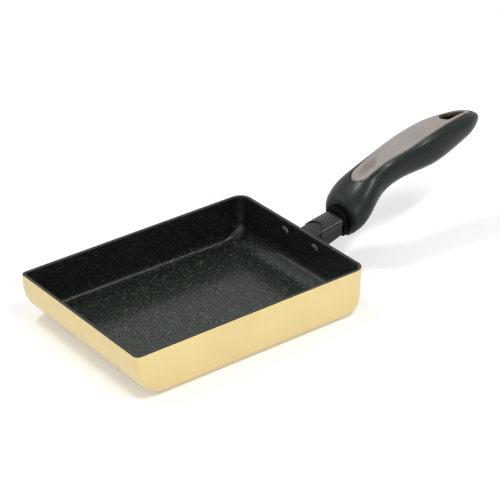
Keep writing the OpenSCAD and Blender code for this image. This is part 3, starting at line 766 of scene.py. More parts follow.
class PAN_OT_bracket(bpy.types.Operator):
    """Cast bracket: the flange behind the wall, the arm and the tang inside the grip"""

    bl_idname = "omelette.bracket"
    bl_label = "Bracket"

    def execute(self, context):
        neck = context.scene.neck_form
        mesh = bmesh.new()
        size = Matrix.Diagonal((neck.flange, neck.flange_width, neck.flange_height, 1.0))
        bmesh.ops.create_cube(mesh, size=1.0, matrix=size)

        def bevel(edges, offset, segments):
            bmesh.ops.bevel(
                mesh, geom=edges, offset=offset, segments=segments, profile=0.5,
                affect="EDGES", material=-1,
            )

        along_x = [
            e for e in mesh.edges if abs((e.verts[0].co - e.verts[1].co).normalized().x) > 0.9
        ]
        bevel(along_x, neck.flange_corner, 8)
        front = [
            e for e in mesh.edges
            if all(v.co.x > neck.flange / 2 - 1e-6 for v in e.verts) and len(e.link_faces) == 2
        ]
        bevel(front, FLANGE_EDGE, 3)
        place = wall_place(context) @ Matrix.Translation((neck.flange / 2, 0.0, -neck.flange_drop))
        bmesh.ops.transform(mesh, matrix=place, verts=mesh.verts)
        root_at, arm_end = neck.flange - FLARE_SUNK, neck.length + neck.arm_tuck
        places = [
            (root_at + FLARE * (1 - math.cos(a)), FLARE * (1 - math.sin(a))) for a in quarter(8)
        ]
        places += [(ARM_FROM + (arm_end - ARM_FROM - 0.001) * k / 8, 0.0) for k in range(1, 9)]
        places += [(arm_end, 0.0), (arm_end, -ARM_CHAMFER)]
        rings = [arm_ring(context, out, margin) for out, margin in places]
        tip = tang_place(context)
        outline = arched_outline(neck.tang_width / 2, neck.tang_depth / 2, TANG_EDGE, TANG_ARCH)
        last = [tip @ Vector((neck.tang_length, y, z)) for y, z in outline]
        rings += [[a.lerp(b, 0.5) for a, b in zip(rings[-1], last)], last]
        root, end = loft(mesh, rings)
        cap(mesh, root)
        cap(mesh, end)
        finish_piece(
            "cast_bracket", mesh, [cast_paint(context.scene.pan_finishes)], "handle_bracket",
            38.0,
        )
        return {"FINISHED"}


class PAN_OT_neck_cover(bpy.types.Operator):
    """Bent sheet cover over the arm, with its arc-shaped front edge"""

    bl_idname = "omelette.neck_cover"
    bl_label = "Neck Cover"

    def execute(self, context):
        pan, neck = context.scene.pan_form, context.scene.neck_form
        outer = FIT + neck.guard_sheet
        half = neck.arm_width / 2 + outer
        bend = neck.arm_edge + outer
        skirt = neck.guard_skirt + outer
        big, turn = arch_over(half, bend, neck.arm_arch)
        side = [(half, -skirt + (skirt - bend) * k / 5) for k in range(5)]
        side += [
            (half - bend + bend * math.cos(a), -bend + bend * math.sin(a))
            for a in ((math.pi / 2 - turn) * k / 9 for k in range(10))
        ]
        crown = [
            (big * math.sin(a), neck.arm_arch - big + big * math.cos(a))
            for a in (turn * (1 - 2 * k / 12) for k in range(1, 12))
        ]
        section = side + crown + [(-y, z) for y, z in reversed(side)]
        front_from = neck.guard_start - neck.guard_arc
        end = neck.length + COVER_TUCK
        rows = 30
        mesh = bmesh.new()
        bmesh.ops.create_grid(mesh, x_segments=rows, y_segments=len(section) - 1, size=1.0)
        for vert in mesh.verts:
            along = (vert.co.x + 1) / 2
            y, z = section[round((vert.co.y + 1) / 2 * (len(section) - 1))]
            front = front_from + math.sqrt(max(0.0, neck.guard_arc**2 - y * y))
            out = front + (end - front) * along
            top = arm_middle(context, out)[0] + outer
            vert.co = (pan.rim_length / 2 + out, y, top + z)
        bmesh.ops.recalc_face_normals(mesh, faces=mesh.faces)
        upper = max(mesh.faces, key=lambda f: f.calc_center_median().z)
        if upper.normal.z < 0:
            bmesh.ops.reverse_faces(mesh, faces=mesh.faces)
        bmesh.ops.solidify(mesh, geom=mesh.faces, thickness=neck.guard_sheet)
        finish_piece(
            "bent_cover", mesh, [dark_sheet(context.scene.pan_finishes)], "flame_guard",
            40.0,
        )
        return {"FINISHED"}


SECTION_POWER = 2.25  # squareness of the grip's sections and of the ring's arch


def superellipse(half_width, half_height, angle, power=SECTION_POWER):
    """Point of the grip's kind of section at an angle."""
    c, s = math.cos(angle), math.sin(angle)
    return (
        half_width * math.copysign(abs(c) ** (2 / power), c),
        half_height * math.copysign(abs(s) ** (2 / power), s),
    )


def furthest(half_width, half_height, c, s, power=SECTION_POWER):
    """Point of the grip's kind of section that lies furthest in the direction c, s."""
    y, z = half_width * abs(c), half_height * abs(s)
    size = (y ** (power / (power - 1)) + z ** (power / (power - 1))) ** (1 / power)
    return (
        math.copysign(half_width * y ** (1 / (power - 1)) / size, c),
        math.copysign(half_height * z ** (1 / (power - 1)) / size, s),
    )


def ring_outline(context, margin, count=96):
    """Outline of the mouth ring: an arch over the arm that takes in the arm's lower corners."""
    neck = context.scene.neck_form
    arch_z = arm_end_middle(context) + neck.ring_rise
    top, depth = arm_middle(context, neck.length - neck.ring_front)
    arm_z = top - depth / 2
    flat = neck.arm_width / 2 - neck.arm_edge
    level = depth / 2 - neck.arm_edge
    corner = neck.arm_edge + neck.ring_wall
    points = []
    for k in range(count):
        c, s = math.cos(2 * math.pi * (k + 0.5) / count), math.sin(2 * math.pi * (k + 0.5) / count)
        y, z = furthest(neck.ring_width / 2, neck.ring_height / 2, c, s)
        z += arch_z
        low_y = math.copysign(flat, c) + corner * c
        low_z = arm_z + math.copysign(level, s) + corner * s
        if low_y * c + low_z * s > y * c + z * s:
            y, z = low_y, low_z
        points.append((y + margin * c, z + margin * s))
    return points


def crossing(outline, middle, y, z):
    """Where the line from a middle to a point meets an outline, as a share of the way to it."""
    dy, dz = y - middle[0], z - middle[1]
    best = None
    for (ay, az), (by, bz) in zip(outline, outline[1:] + outline[:1]):
        ay, az, by, bz = ay - middle[0], az - middle[1], by - middle[0], bz - middle[1]
        first, second = dy * az - dz * ay, dy * bz - dz * by
        if first * second > 0 or first == second:
            continue
        part = first / (first - second)
        hit_y, hit_z = ay + (by - ay) * part, az + (bz - az) * part
        along = (hit_y * dy + hit_z * dz) / (dy * dy + dz * dz)
        if along > 0 and (best is None or along > best):
            best = along
    return best


class PAN_OT_mouth_ring(bpy.types.Operator):
    """Dark ring that closes the gap between the neck and the grip"""

    bl_idname = "omelette.mouth_ring"
    bl_label = "Mouth Ring"

    def execute(self, context):
        neck = context.scene.neck_form
        mouth = mouth_place(context)
        front, back, edge = -neck.ring_front, neck.ring_tuck, neck.ring_edge
        profile = [(front, -1.6 * edge), (front, -1.2 * edge)]
        profile += [
            (front + edge * (1 - math.cos(a)), -edge * (1 - math.sin(a))) for a in quarter(5)
        ]
        profile += [(front + 1.4 * edge, 0.0), (0.0, 0.0), (back, 0.0)]
        skin = [
            [Vector((mouth.x + x, y, z)) for y, z in ring_outline(context, margin)]
            for x, margin in profile
        ]
        way = [self.way(context, x) for x in (front, front + 0.0003, 0.001, back)]
        mesh = bmesh.new()
        outer_front, outer_back = loft(mesh, skin)
        inner_front, inner_back = loft(mesh, way)
        bmesh.ops.bridge_loops(mesh, edges=outer_front + inner_front)
        bmesh.ops.bridge_loops(mesh, edges=outer_back + inner_back)
        finish_piece(
            "dark_ring", mesh, [black_ring(context.scene.pan_finishes)], "mouth_ring",
            50.0,
        )
        return {"FINISHED"}

    def way(self, context, x):
        """Ring of the way for the arm and its cover, at a distance x behind the mouth."""
        pan, neck = context.scene.pan_form, context.scene.neck_form
        out = neck.length + x
        top, depth = arm_middle(context, out)
        bare, covered = 2 * FIT, 3 * FIT + neck.guard_sheet
        outline = arched_outline(
            neck.arm_width / 2 + covered, depth / 2 + covered, neck.arm_edge + covered,
            neck.arm_arch,
        )
        hem = depth / 2 - neck.guard_skirt - covered - 2 * FIT
        bottom = depth / 2 + bare
        shape = []
        for y, z in outline:
            if z < hem:
                y = math.copysign(min(abs(y), neck.arm_width / 2 + bare), y)
                z = max(z, -bottom)
            shape.append((y, z))
        below = [i for i, (_, z) in enumerate(shape) if z < hem]
        first, last = below[0], below[-1]
        wide, narrow = neck.arm_width / 2 + covered, neck.arm_width / 2 + bare
        shape[last + 1 : last + 1] = [(narrow, hem), (wide, hem)]
        shape[first:first] = [(-wide, hem), (-narrow, hem)]
        return [Vector((pan.rim_length / 2 + out, y, top - depth / 2 + z)) for y, z in shape]


# ------------------------------------------------------------------ the grip


SEAM_EDGE = 0.0006  # rounding of the grip's edge at the seam
COVER_EDGE = 0.0008  # rounding of the cover's own edge
SLOT_EDGE = 0.0005  # rounding of the slot's edge in the cover
SLOT_FOOT = 0.0009  # rounding of its edge in the grip's underside
BORE_EDGE = 0.0004  # rounding of the bore's edge
BORE_REACH = (0.004, 0.03)  # depths below the tang between which the underside lies
NOSE_MIDDLE = 0.0017  # height of the nose's middle above the arm's
NOSE_STEPS = 14  # steps round the nose before its points are spaced evenly
NOSE_POINTS = 16
GROOVE_EDGE = 0.0003  # rounding of the groove's edge
LIP_REACH = 0.0038  # how far the lip reaches out from the seam
# The lip's height at distances from the seam, as a share of the crest's.
LIP = ((0.0, 0.0), (0.0011, -0.5), (0.0021, 0.0), (0.0028, 1.0), (LIP_REACH, 0.0))
LIP_FROM, LIP_TO, LIP_FADE = 0.015, 0.118, 0.012  # where along the grip it comes and goes


class GripShape:
    """The grip's form: its section at each distance from the mouth, and what lies on its top."""

    def __init__(self, context):
        grip = self.grip = context.scene.grip_form
        self.mouth = mouth_place(context)
        places = (0.0, grip.bulb_at, grip.waist_at, grip.palm_at, grip.length)
        lifts = (0.0, grip.bulb_lift, grip.waist_lift, grip.palm_lift, grip.tail_lift)
        heights, widths = (
            [getattr(grip, part + side) for part in ("mouth", "bulb", "waist", "palm", "tail")]
            for side in ("_height", "_width")
        )
        self.lifts, self.heights, self.widths = (
            list(zip(places, values)) for values in (lifts, heights, widths)
        )
        self.slot_at = grip.length - grip.slot_from_tip
        self.cover_end = grip.length - grip.cover_end_gap
        self.cover_knots = [
            (grip.cover_start + grip.cover_round, grip.cover_round),
            (grip.cover_waist_at, grip.cover_waist / 2),
            (grip.cover_width_at, grip.cover_width / 2),
            (self.slot_at, grip.cover_slot_width / 2),
            (self.cover_end, grip.cover_end_width / 2),
        ]

    def half_sizes(self, at):
        """Half width and half height of the section."""
        tail = self.grip.tail_round
        into_tail = max(0.0, at - self.grip.length + tail) / tail
        left = math.sqrt(max(0.0, 1 - into_tail**2))
        return [
            max(1e-7, smooth_curve(knots, at) * left / 2) for knots in (self.widths, self.heights)
        ]

    def middle(self, at):
        return self.mouth.z + smooth_curve(self.lifts, at)

    def point(self, at, y, side):
        """Point of the surface above (side 1) or below (side -1) a place in plan."""
        a, b = self.half_sizes(at)
        share = min(1.0, abs(y) / a)
        z = b * (1 - share**SECTION_POWER) ** (1 / SECTION_POWER)
        return Vector((self.mouth.x + at, y, self.middle(at) + side * z))

    def round_point(self, at, angle):
        """Point of the surface at an angle round the section."""
        y, z = superellipse(*self.half_sizes(at), angle)
        return Vector((self.mouth.x + at, y, self.middle(at) + z))

    def cover_half(self, at):
        """Half width of the cover behind its round front end."""
        return smooth_curve(self.cover_knots, at)

    def cover_depth(self, at, y):
        """How far a place in plan lies inside the cover's outline; outside it is below zero."""
        grip = self.grip
        centre = grip.cover_start + grip.cover_round
        if at < centre:
            return grip.cover_round - math.hypot(at - centre, y)
        return min(self.cover_half(min(at, self.cover_end)) - abs(y), self.cover_end - at)

    def slot_gap(self, at, y):
        """Distance from the slot's outline, in plan."""
        grip = self.grip
        big, small, span = grip.slot_radius, grip.slot_tip, grip.slot_reach
        t = min(1.0, max(0.0, (at - self.slot_at) / span))
        t = min(1.0, max(0.0, t + abs(y) * (big - small) / span**2))
        return math.hypot(at - self.slot_at - t * span, y) - (big + (small - big) * t)

    def dish(self, at, y):
        """Share of the thumb dish's depth; the dish falls off fast at its rear."""
        grip = self.grip
        behind = at > grip.dish_at
        away = math.hypot(
            (at - grip.dish_at) / (grip.dish_rear if behind else grip.dish_front),
            y / grip.dish_side,
        )
        flat = 0.66 if behind else 0.35
        return ease((1 - away) / (1 - flat))

    def lip(self, at, away):
        """Rise beside the cover: an even slope from the seam out to a crest, then a fall."""
        if not 0 < away < LIP_REACH:
            return 0.0
        along = ease((at - LIP_FROM) / LIP_FADE) * ease((LIP_TO - at) / LIP_FADE)
        return self.grip.lip * along * smooth_curve(LIP, away)


def ease(share):
    """Smooth step from 0 to 1."""
    share = min(1.0, max(0.0, share))
    return share * share * (3 - 2 * share)


def evenly(path, count):
    """Points at even distances along a path."""
    lengths = [0.0]
    for a, b in zip(path, path[1:]):
        lengths.append(lengths[-1] + (b - a).length)
    points, i = [], 0
    for k in range(count):
        wanted = lengths[-1] * k / (count - 1)
        while i < len(path) - 2 and lengths[i + 1] < wanted:
            i += 1
        share = (wanted - lengths[i]) / max(1e-9, lengths[i + 1] - lengths[i])
        points.append(path[i].lerp(path[i + 1], min(1.0, share)))
    return points


def rounding(distance, radius):
    """Drop of a rounded edge at a distance from it."""
    if distance >= radius:
        return 0.0
    share = 1 - max(0.0, distance) / radius
    return radius * (1 - math.sqrt(max(0.0, 1 - share * share)))


# One row across the grip's top. side is where it meets the side of the grip. edge, slot and
# centre are its places at the cover's edge, at the slot and in the middle. A sunk row lies under
# the cover, and a cut row crosses the slot.
TopRow = namedtuple("TopRow", "side edge slot centre sunk cut", defaults=(False, False))
HALF_WAY = 0.27  # how far the point between a row's middle and its slot place follows the latter
BELOW = 15  # points of a ring below each side, next to the one in the middle
ROW_GAP = 0.0012  # distance between the slot's first row and the one ahead of it
UNDER_SLOT = 0.004  # greatest half width of the slot's outline drawn on the underside
ROOM_AHEAD = 0.02  # how far ahead of the slot the rows begin to make room for it
BOW = 0.0010  # how far they bow towards its round end
STEPS_OUT = (0.12, 0.35, 0.7, 1.0)  # shares of a rounding at which points lie


def arc_row(side, x, half, middle, sunk=False):
    """A row without a slot, which bows in the middle like the cover's round front end."""
    return TopRow(side, (x, half), (middle + (x - middle) * 0.25, half / 2), middle, sunk)


def top_rows(shape, gap, inside):
    """Rows from the mouth to the tip, bent round the cover's front end and the slot's two ends.

    gap is how far outside the cover's outline the edge column runs. With inside, only the rows
    within it are drawn.
    """
    grip = shape.grip
    radius = grip.cover_round + gap
    centre = grip.cover_start + grip.cover_round
    end = shape.cover_end + gap
    corner = math.pi / 4
    rows = []

    def bent(off, sunk=False):
        r = radius + off
        x = centre - r * math.cos(corner)
        return arc_row(x + SEAM_EDGE, x, r * math.sin(corner), centre - r, sunk)

    if not inside:
        ahead = bent(SEAM_EDGE * 1.4)
        start = grip.mouth_edge
        half = shape.half_sizes(start)[0] / 2
        for q in (step / 8 for step in range(8)):
            side, x, middle = (
                start + (goal - start) * q for goal in (ahead.side, ahead.edge[0], ahead.centre)
            )
            rows.append(arc_row(side, x, half * (1 - q) + ahead.edge[1] * q, middle))
        rows.append(ahead)
        rows += [bent(SEAM_EDGE * share) for share in (*reversed(STEPS_OUT), 0.0)]
    rows.append(bent(0.0, True))
    if inside:
        rows += [bent(-SEAM_EDGE * share, True) for share in (*STEPS_OUT, 1.6)]
    start = rows[-1]
    for q in (step / 7 for step in range(1, 8)):
        a = corner + (math.pi / 2 - corner) * q
        side, middle = (x + (centre - x) * q for x in (start.side, start.centre))
        rows.append(
            arc_row(side, centre - radius * math.cos(a), radius * math.sin(a), middle, True)
        )

    big, small, span = grip.slot_radius, grip.slot_tip, grip.slot_reach
    side_from = shape.slot_at - big * math.cos(corner)
    last = side_from - ROW_GAP
    for step in range(1, 32):
        at = centre + (last - centre) * step / 31
        c = shape.cover_half(at) + gap
        near = max(0.0, 1 - (side_from - at) / ROOM_AHEAD)
        s = c / 2 + (big * math.sin(corner) - c / 2) * near**2
        bow = BOW * near**4
        rows.append(TopRow(at, (at, c), (at - bow * 0.25, s), at - bow, True))

    lean = math.asin((big - small) / span)
    x0, s0 = shape.slot_at + big * math.sin(lean), big * math.cos(lean)
    x1, s1 = shape.slot_at + span + small * math.sin(lean), small * math.cos(lean)
    after = shape.slot_at + span + small
    # Places along the slot's outline, each with its half width and its middle.
    outline = [(side_from, big * math.sin(corner), shape.slot_at - big)]
    for step in range(1, 7):
        a = corner + (math.pi / 2 + lean - corner) * step / 6
        x = shape.slot_at - big * math.cos(a)
        outline.append((x, big * math.sin(a), x))
    for q in (step / 7 for step in range(1, 8)):
        x = x0 + (x1 - x0) * q
        outline.append((x, s0 + (s1 - s0) * q, x))
    x = shape.slot_at + span + small * math.cos(corner)
    outline.append((x, small * math.sin(corner), after))
    for x, s, middle in outline:
        rows.append(TopRow(x, (x, shape.cover_half(x) + gap), (x, s), middle, True, True))

    for step in range(1, 5):
        at = after + (end - after) * step / 4
        c = shape.cover_half(min(at, shape.cover_end)) + gap
        rows.append(arc_row(at, at, c, at, True))
    if not inside:
        rows.append(arc_row(end, end, c, end))
        straight = grip.length - grip.tail_round
        first = math.asin((end - straight) / grip.tail_round)
        for step in range(1, 10):
            turn = first + (math.pi / 2 - first) * step / 10
            at = straight + grip.tail_round * math.sin(turn)
            wide = c * shape.half_sizes(at)[0] / shape.half_sizes(end)[0]
            rows.append(arc_row(at, at, wide, at))
    return rows


def grip_row(shape, row, gap, floor):
    """Points of one ring of the grip, from the +y side over the top and back below."""
    x, c = row.edge
    xs, s = row.slot

    def outside(at, y):
        away = -shape.cover_depth(at, y) - gap
        point = shape.point(at, y, 1)
        point.z += shape.lip(at, away) - rounding(away, SEAM_EDGE)
        return point

    def inner(at, y):
        if not row.sunk:
            return outside(at, y)
        point = shape.point(at, y, 1)
        point.z -= floor
        return point

    def edge_angle(half, at):
        """Angle round the section at which its upper or lower face is this wide."""
        share = min(1.0, half / shape.half_sizes(at)[0])
        return math.acos(share ** (SECTION_POWER / 2))

    room = min(1.0, 0.55 * (shape.half_sizes(x)[0] - c) / LIP_REACH)
    beside = [room * d / 10000 for d in (38, 34, 30, 26, 22, 18, 13, 9)]
    last_angle = edge_angle(c + beside[0], x)
    upper = [
        shape.round_point(row.side + (x - row.side) * step / 11, last_angle * step / 11)
        for step in range(11)
    ]
    beside += [SEAM_EDGE * share for share in (0.7, 0.35, 0.12, 0.0)]
    upper += [outside(x, c + away) for away in beside]
    upper.append(inner(x, c if row.sunk else c * 0.98))
    for q in (0.25, 0.5, 0.75, 1.0):
        y = c + (s - c) * q
        if row.cut:
            upper.append(inner(x + (xs - x) * q, y))
        else:
            upper.append(inner(row.centre + (x - row.centre) * (y / c) ** 2, y))
    upper.append(inner(row.centre + (xs - row.centre) * HALF_WAY, s / 2))

    bottom_x, centre_x = (xs, row.centre) if row.cut else (row.side, row.side)
    bottom_s = min(s, UNDER_SLOT)
    last_angle = edge_angle(bottom_s, row.side)
    steps = BELOW - 1
    lower = [
        shape.round_point(
            row.side + (bottom_x - row.side) * step / steps, -last_angle * step / steps
        )
        for step in range(1, steps)
    ]
    lower.append(shape.point(bottom_x, bottom_s, -1))
    lower.append(shape.point(centre_x + (bottom_x - centre_x) * HALF_WAY, bottom_s / 2, -1))

    def mirrored(points):
        return [Vector((p.x, -p.y, p.z)) for p in points]

    return (
        upper + [inner(row.centre, 0.0)] + mirrored(reversed(upper))
        + mirrored(lower) + [shape.point(centre_x, 0.0, -1)] + lower[::-1]
    )


def last_inside(low, high, inside, rounds):
    """The furthest value from low towards high that is still inside, found by halving."""
    for _ in range(rounds):
        middle = (low + high) / 2
        low, high = (middle, high) if inside(middle) else (low, middle)
    return low


class PAN_OT_grip(bpy.types.Operator):
    """Moulded grip with its recess for the top cover, the hanging slot and the screw's bore"""

    bl_idname = "omelette.grip"
    bl_label = "Grip"

    def execute(self, context):
        grip = context.scene.grip_form
        shape = GripShape(context)
        rows = top_rows(shape, grip.seam, False)
        floor = grip.cover_thickness + FIT
        over = [grip_row(shape, row, grip.seam, floor) for row in rows]
        nose = self.nose(context, shape, over[0])
        tip = Vector((shape.mouth.x + grip.length, 0.0, shape.middle(grip.length)))
        mesh = bmesh.new()
        front, _ = loft(mesh, nose + over + [[tip.copy() for _ in over[0]]])
        cap(mesh, front)
        place, row = mesh.verts.layers.int["place"], mesh.verts.layers.int["row"]
        count, ahead = len(over[0]), len(nose)
        top, under = count // 2 - BELOW - 1, count - BELOW - 1
        top_slot, under_slot = (set(range(middle - 2, middle + 3)) for middle in (top, under))
        self.bore(context, shape, mesh, under, place, row)
        cut = [ahead + i for i, r in enumerate(rows) if r.cut]
        for wanted in (top_slot, under_slot):
            doomed = [
                f for f in mesh.faces
                if all(v[place] in wanted and cut[0] <= v[row] <= cut[-1] for v in f.verts)
            ]
            bmesh.ops.delete(mesh, geom=doomed, context="FACES")
        loops = [e for e in mesh.edges if e.is_boundary and cut[0] <= e.verts[0][row] <= cut[-1]]
        below = [e for e in loops if e.verts[0][place] in under_slot]
        bmesh.ops.bridge_loops(mesh, edges=loops)
        bmesh.ops.bevel(
            mesh, geom=below, offset=SLOT_FOOT, segments=3, profile=0.5, affect="EDGES",
            clamp_overlap=True, material=-1,
        )
        bmesh.ops.remove_doubles(mesh, verts=mesh.verts, dist=1e-6)
        bmesh.ops.dissolve_degenerate(mesh, dist=1e-6, edges=mesh.edges)
        finish_piece(
            "moulded_grip", mesh, [moulded_grip(context.scene.pan_finishes)], "grip_body",
            42.0,
        )
        return {"FINISHED"}

    def nose(self, context, shape, first):
        """Rings from the pocket behind the mouth ring, out of its groove and over the nose."""
        neck, grip = context.scene.neck_form, context.scene.grip_form
        edge, soft = grip.mouth_edge, GROOVE_EDGE
        wide, high = shape.half_sizes(edge)
        level = shape.middle(edge)
        centre = (0.0, arm_end_middle(context) + NOSE_MIDDLE)
        opening = ring_outline(context, neck.ring_groove + soft)

        def on_nose(p, turn):
            at, inset = edge * (1 - math.cos(turn)), edge * (1 - math.sin(turn))
            a, b = shape.half_sizes(at)
            y, z = p.y / wide * (a - inset), (p.z - level) / high * (b - inset)
            return Vector((shape.mouth.x + at, y, shape.middle(at) + z))

        paths = []
        for p in first:

            def in_opening(turn):
                point = on_nose(p, turn)
                return crossing(opening, centre, point.y, point.z) > 1

            flat = on_nose(p, 0.0)
            share = crossing(opening, centre, flat.y, flat.z)
            low, path = 0.0, []
            if share < 1:
                path = [Vector((flat.x, flat.y * share, centre[1] + (flat.z - centre[1]) * share))]
            else:
                low = last_inside(0.0, math.pi / 2, in_opening, 24)
            path += [
                on_nose(p, low + (math.pi / 2 - low) * k / NOSE_STEPS)
                for k in range(NOSE_STEPS + 1)
            ]
            paths.append(evenly(path, NOSE_POINTS))
        pocket = shape.mouth.x + neck.ring_tuck + 2 * FIT
        groove = shape.mouth.x + neck.groove_depth
        turns = [math.pi / 2 * (1 - k / 3) for k in range(3)]
        cuts = [(FIT, pocket, 0.0), (FIT, groove, 0.0), (neck.ring_groove, groove, 0.0)]
        cuts += [
            (neck.ring_groove + soft * (1 - math.sin(a)), None, soft * (1 - math.cos(a)))
            for a in turns
        ]
        rings = []
        for margin, x, behind in cuts:
            outline = ring_outline(context, margin)
            ring = []
            for path in paths:
                p = path[0]
                share = crossing(outline, centre, p.y, p.z)
                z = centre[1] + (p.z - centre[1]) * share
                ring.append(Vector((p.x + behind if x is None else x, p.y * share, z)))
            rings.append(ring)
        return rings + [[path[k] for path in paths] for k in range(NOSE_POINTS - 1)]

    def bore(self, context, shape, mesh, under, place, row):
        """Sinks the screw's bore into the underside: a patch of faces makes way for it."""
        neck = context.scene.neck_form
        tang = tang_place(context)
        back = tang.inverted()
        wide = neck.screw_bore + BORE_EDGE
        line = {v[row]: (back @ v.co).x for v in mesh.verts if v[place] == under}
        first, last = (
            min(line, key=lambda r: abs(line[r] - neck.screw_at - reach)) for reach in (-wide, wide)
        )
        half = 3

        def in_patch(item):
            return all(
                abs(v[place] - under) <= half and first <= v[row] <= last for v in item.verts
            )

        patch = [f for f in mesh.faces if in_patch(f)]
        bmesh.ops.delete(mesh, geom=patch, context="FACES")
        turn = mesh.verts.layers.float.new("turn")
        edges = [e for e in mesh.edges if e.is_boundary and in_patch(e)]
        if not edges:
            raise RuntimeError("the bore found no place in the grip's underside")

        def at_turn(angle, radius, depth):
            """Point round the bore's axis, at a depth below the tang's middle."""
            u, y = neck.screw_at + radius * math.cos(angle), radius * math.sin(angle)
            return tang @ Vector((u, y, -depth))

        def on_skin(angle):
            """Point of the grip's underside on the bore's wide edge."""

            def in_grip(depth):
                p = at_turn(angle, wide, depth)
                return p.z > shape.point(p.x - shape.mouth.x, p.y, -1).z

            return at_turn(angle, wide, last_inside(*BORE_REACH, in_grip, 30))

        for vert in {v for e in edges for v in e.verts}:
            # The patch's outline, a rectangle of rows and places, is drawn out to a circle.
            i = 2 * (vert[row] - first) / (last - first) - 1
            j = math.copysign(abs(vert[place] - under) / half, vert.co.y)
            vert[turn] = math.atan2(j * math.sqrt(1 - i * i / 2), i * math.sqrt(1 - j * j / 2))
            vert.co = on_skin(vert[turn])
        axis = (tang.to_3x3() @ Vector((0.0, 0.0, 1.0))).normalized()
        for a in quarter(3, 1):
            radius = neck.screw_bore + BORE_EDGE * (1 - math.sin(a))
            sunk = axis * BORE_EDGE * (1 - math.cos(a))
            fresh, edges = grow(mesh, edges)
            for vert in fresh:
                inward = at_turn(vert[turn], radius, 0.0) - at_turn(vert[turn], wide, 0.0)
                vert.co = on_skin(vert[turn]) + sunk + inward
        fresh, edges = grow(mesh, edges)
        for vert in fresh:
            vert.co = at_turn(vert[turn], neck.screw_bore, neck.screw_seat)
        cap(mesh, edges, (BORE_EDGE,))


COLUMNS = 11  # steps of the cover's mesh from its edge to its middle
SLOT_FACE = 0.0009  # faces this near the slot and this steep are its inner face
STEEP = 0.5


class PAN_OT_top_cover(bpy.types.Operator):
    """Soft top cover of the grip, with its thumb dish and the hanging slot"""

    bl_idname = "omelette.top_cover"
    bl_label = "Top Cover"

    def execute(self, context):
        grip = context.scene.grip_form
        shape = GripShape(context)
        rows = top_rows(shape, 0.0, True)
        mesh = bmesh.new()
        hollow = mesh.verts.layers.float.new("hollow")
        row_layer, place = (mesh.verts.layers.int.new(name) for name in ("row", "place"))
        bmesh.ops.create_grid(
            mesh, x_segments=len(rows) - 1, y_segments=2 * COLUMNS, size=1.0
        )
        for vert in mesh.verts:
            r = round((vert.co.x + 1) / 2 * (len(rows) - 1))
            j = round((vert.co.y + 1) * COLUMNS) - COLUMNS
            at, y = self.column(rows[r], COLUMNS - abs(j))
            point = shape.point(at, y, 1)
            # How much of the dish's painted shade each point takes.
            vert[hollow] = shape.dish(at, y)
            drop = grip.dish_depth * shape.dish(at, y)
            drop += rounding(shape.cover_depth(at, y), COVER_EDGE)
            drop += rounding(shape.slot_gap(at, y), SLOT_EDGE)
            vert.co = (point.x, math.copysign(y, j) if j else 0.0, point.z - drop)
            vert[row_layer] = r
            vert[place] = j
        cut = [i for i, r in enumerate(rows) if r.cut]
        doomed = [
            f for f in mesh.faces
            if all(abs(v[place]) <= 2 and cut[0] <= v[row_layer] <= cut[-1] for v in f.verts)
        ]
        bmesh.ops.delete(mesh, geom=doomed, context="FACES")
        sides = bmesh.ops.extrude_face_region(mesh, geom=mesh.faces[:])["geom"]
        for vert in (g for g in sides if isinstance(g, bmesh.types.BMVert)):
            at = vert.co.x - shape.mouth.x
            vert.co.z = shape.point(at, abs(vert.co.y), 1).z - grip.cover_thickness
        mesh.normal_update()
        # The slot's steep inner faces take the second material, which is their painted shade.
        for face in mesh.faces:
            middle = face.calc_center_median()
            near_slot = shape.slot_gap(middle.x - shape.mouth.x, middle.y) < SLOT_FACE
            face.material_index = int(near_slot and abs(face.normal.z) < STEEP)
        finishes = context.scene.pan_finishes
        finish_piece(
            "soft_top_cover", mesh, [soft_cover(finishes), slot_lining(finishes)], "grip_inlay",
            42.0,
        )
        return {"FINISHED"}

    def column(self, row, n):
        """Place in plan of a row's n-th point, counted from the cover's edge to the middle."""
        x, c = row.edge
        xs, s = row.slot
        room = c - s
        e = min(COVER_EDGE, 0.4 * room)
        es = min(SLOT_EDGE, 0.25 * room) if row.cut else 0.3 * room
        halves = [c - e * share for share in (0.0, *STEPS_OUT)]
        halves += [(c - e) * (1 - q) + (s + es) * q for q in (0.34, 0.67, 1.0)]
        halves += [s + es * 0.4, s, s / 2, 0.0]
        y = halves[n]
        if n == COLUMNS:
            return row.centre, y
        if n == COLUMNS - 1:
            return row.centre + (xs - row.centre) * HALF_WAY, y
        if row.cut:
            return x + (xs - x) * (c - y) / room, y
        return row.centre + (x - row.centre) * (y / c) ** 2, y


class PAN_OT_screw(bpy.types.Operator):
    """Plated finish for the screw and the washer in the grip's underside"""

    bl_idname = "omelette.screw"
    bl_label = "Screw and Washer"

    def execute(self, context):
        material = plated_steel(context.scene.pan_finishes)
        for name in ("handle_screw", "screw_washer"):
            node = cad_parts[name]
            if not node.material_slots:
                raise RuntimeError(name + " has no material slot")
            node.material_slots[0].material = material
        return {"FINISHED"}


# ------------------------------------------------------------------ the studio


# Each lamp's name, place, width and length, and the property with its power.
LAMPS = (
    ("key_lamp", (-0.27, 0.52, 1.2), (0.32, 0.13), "key_power"),
    ("side_lamp", (0.27, -0.66, 1.12), (0.85, 0.10), "side_power"),
    ("fill_lamp", (-1.28, -1.2, 0.7), (1.4, 1.0), "fill_power"),
    ("rim_lamp", (-0.72, 0.92, 0.47), (0.5, 0.1), "rim_power"),
)
LAMPS_AIM = (0.05, 0.0, 0.03)
FLOOR_DROP = 0.0003
FILM_WIDTH = 36.0
NEAR_CLIP, FAR_CLIP = 0.05, 20.0


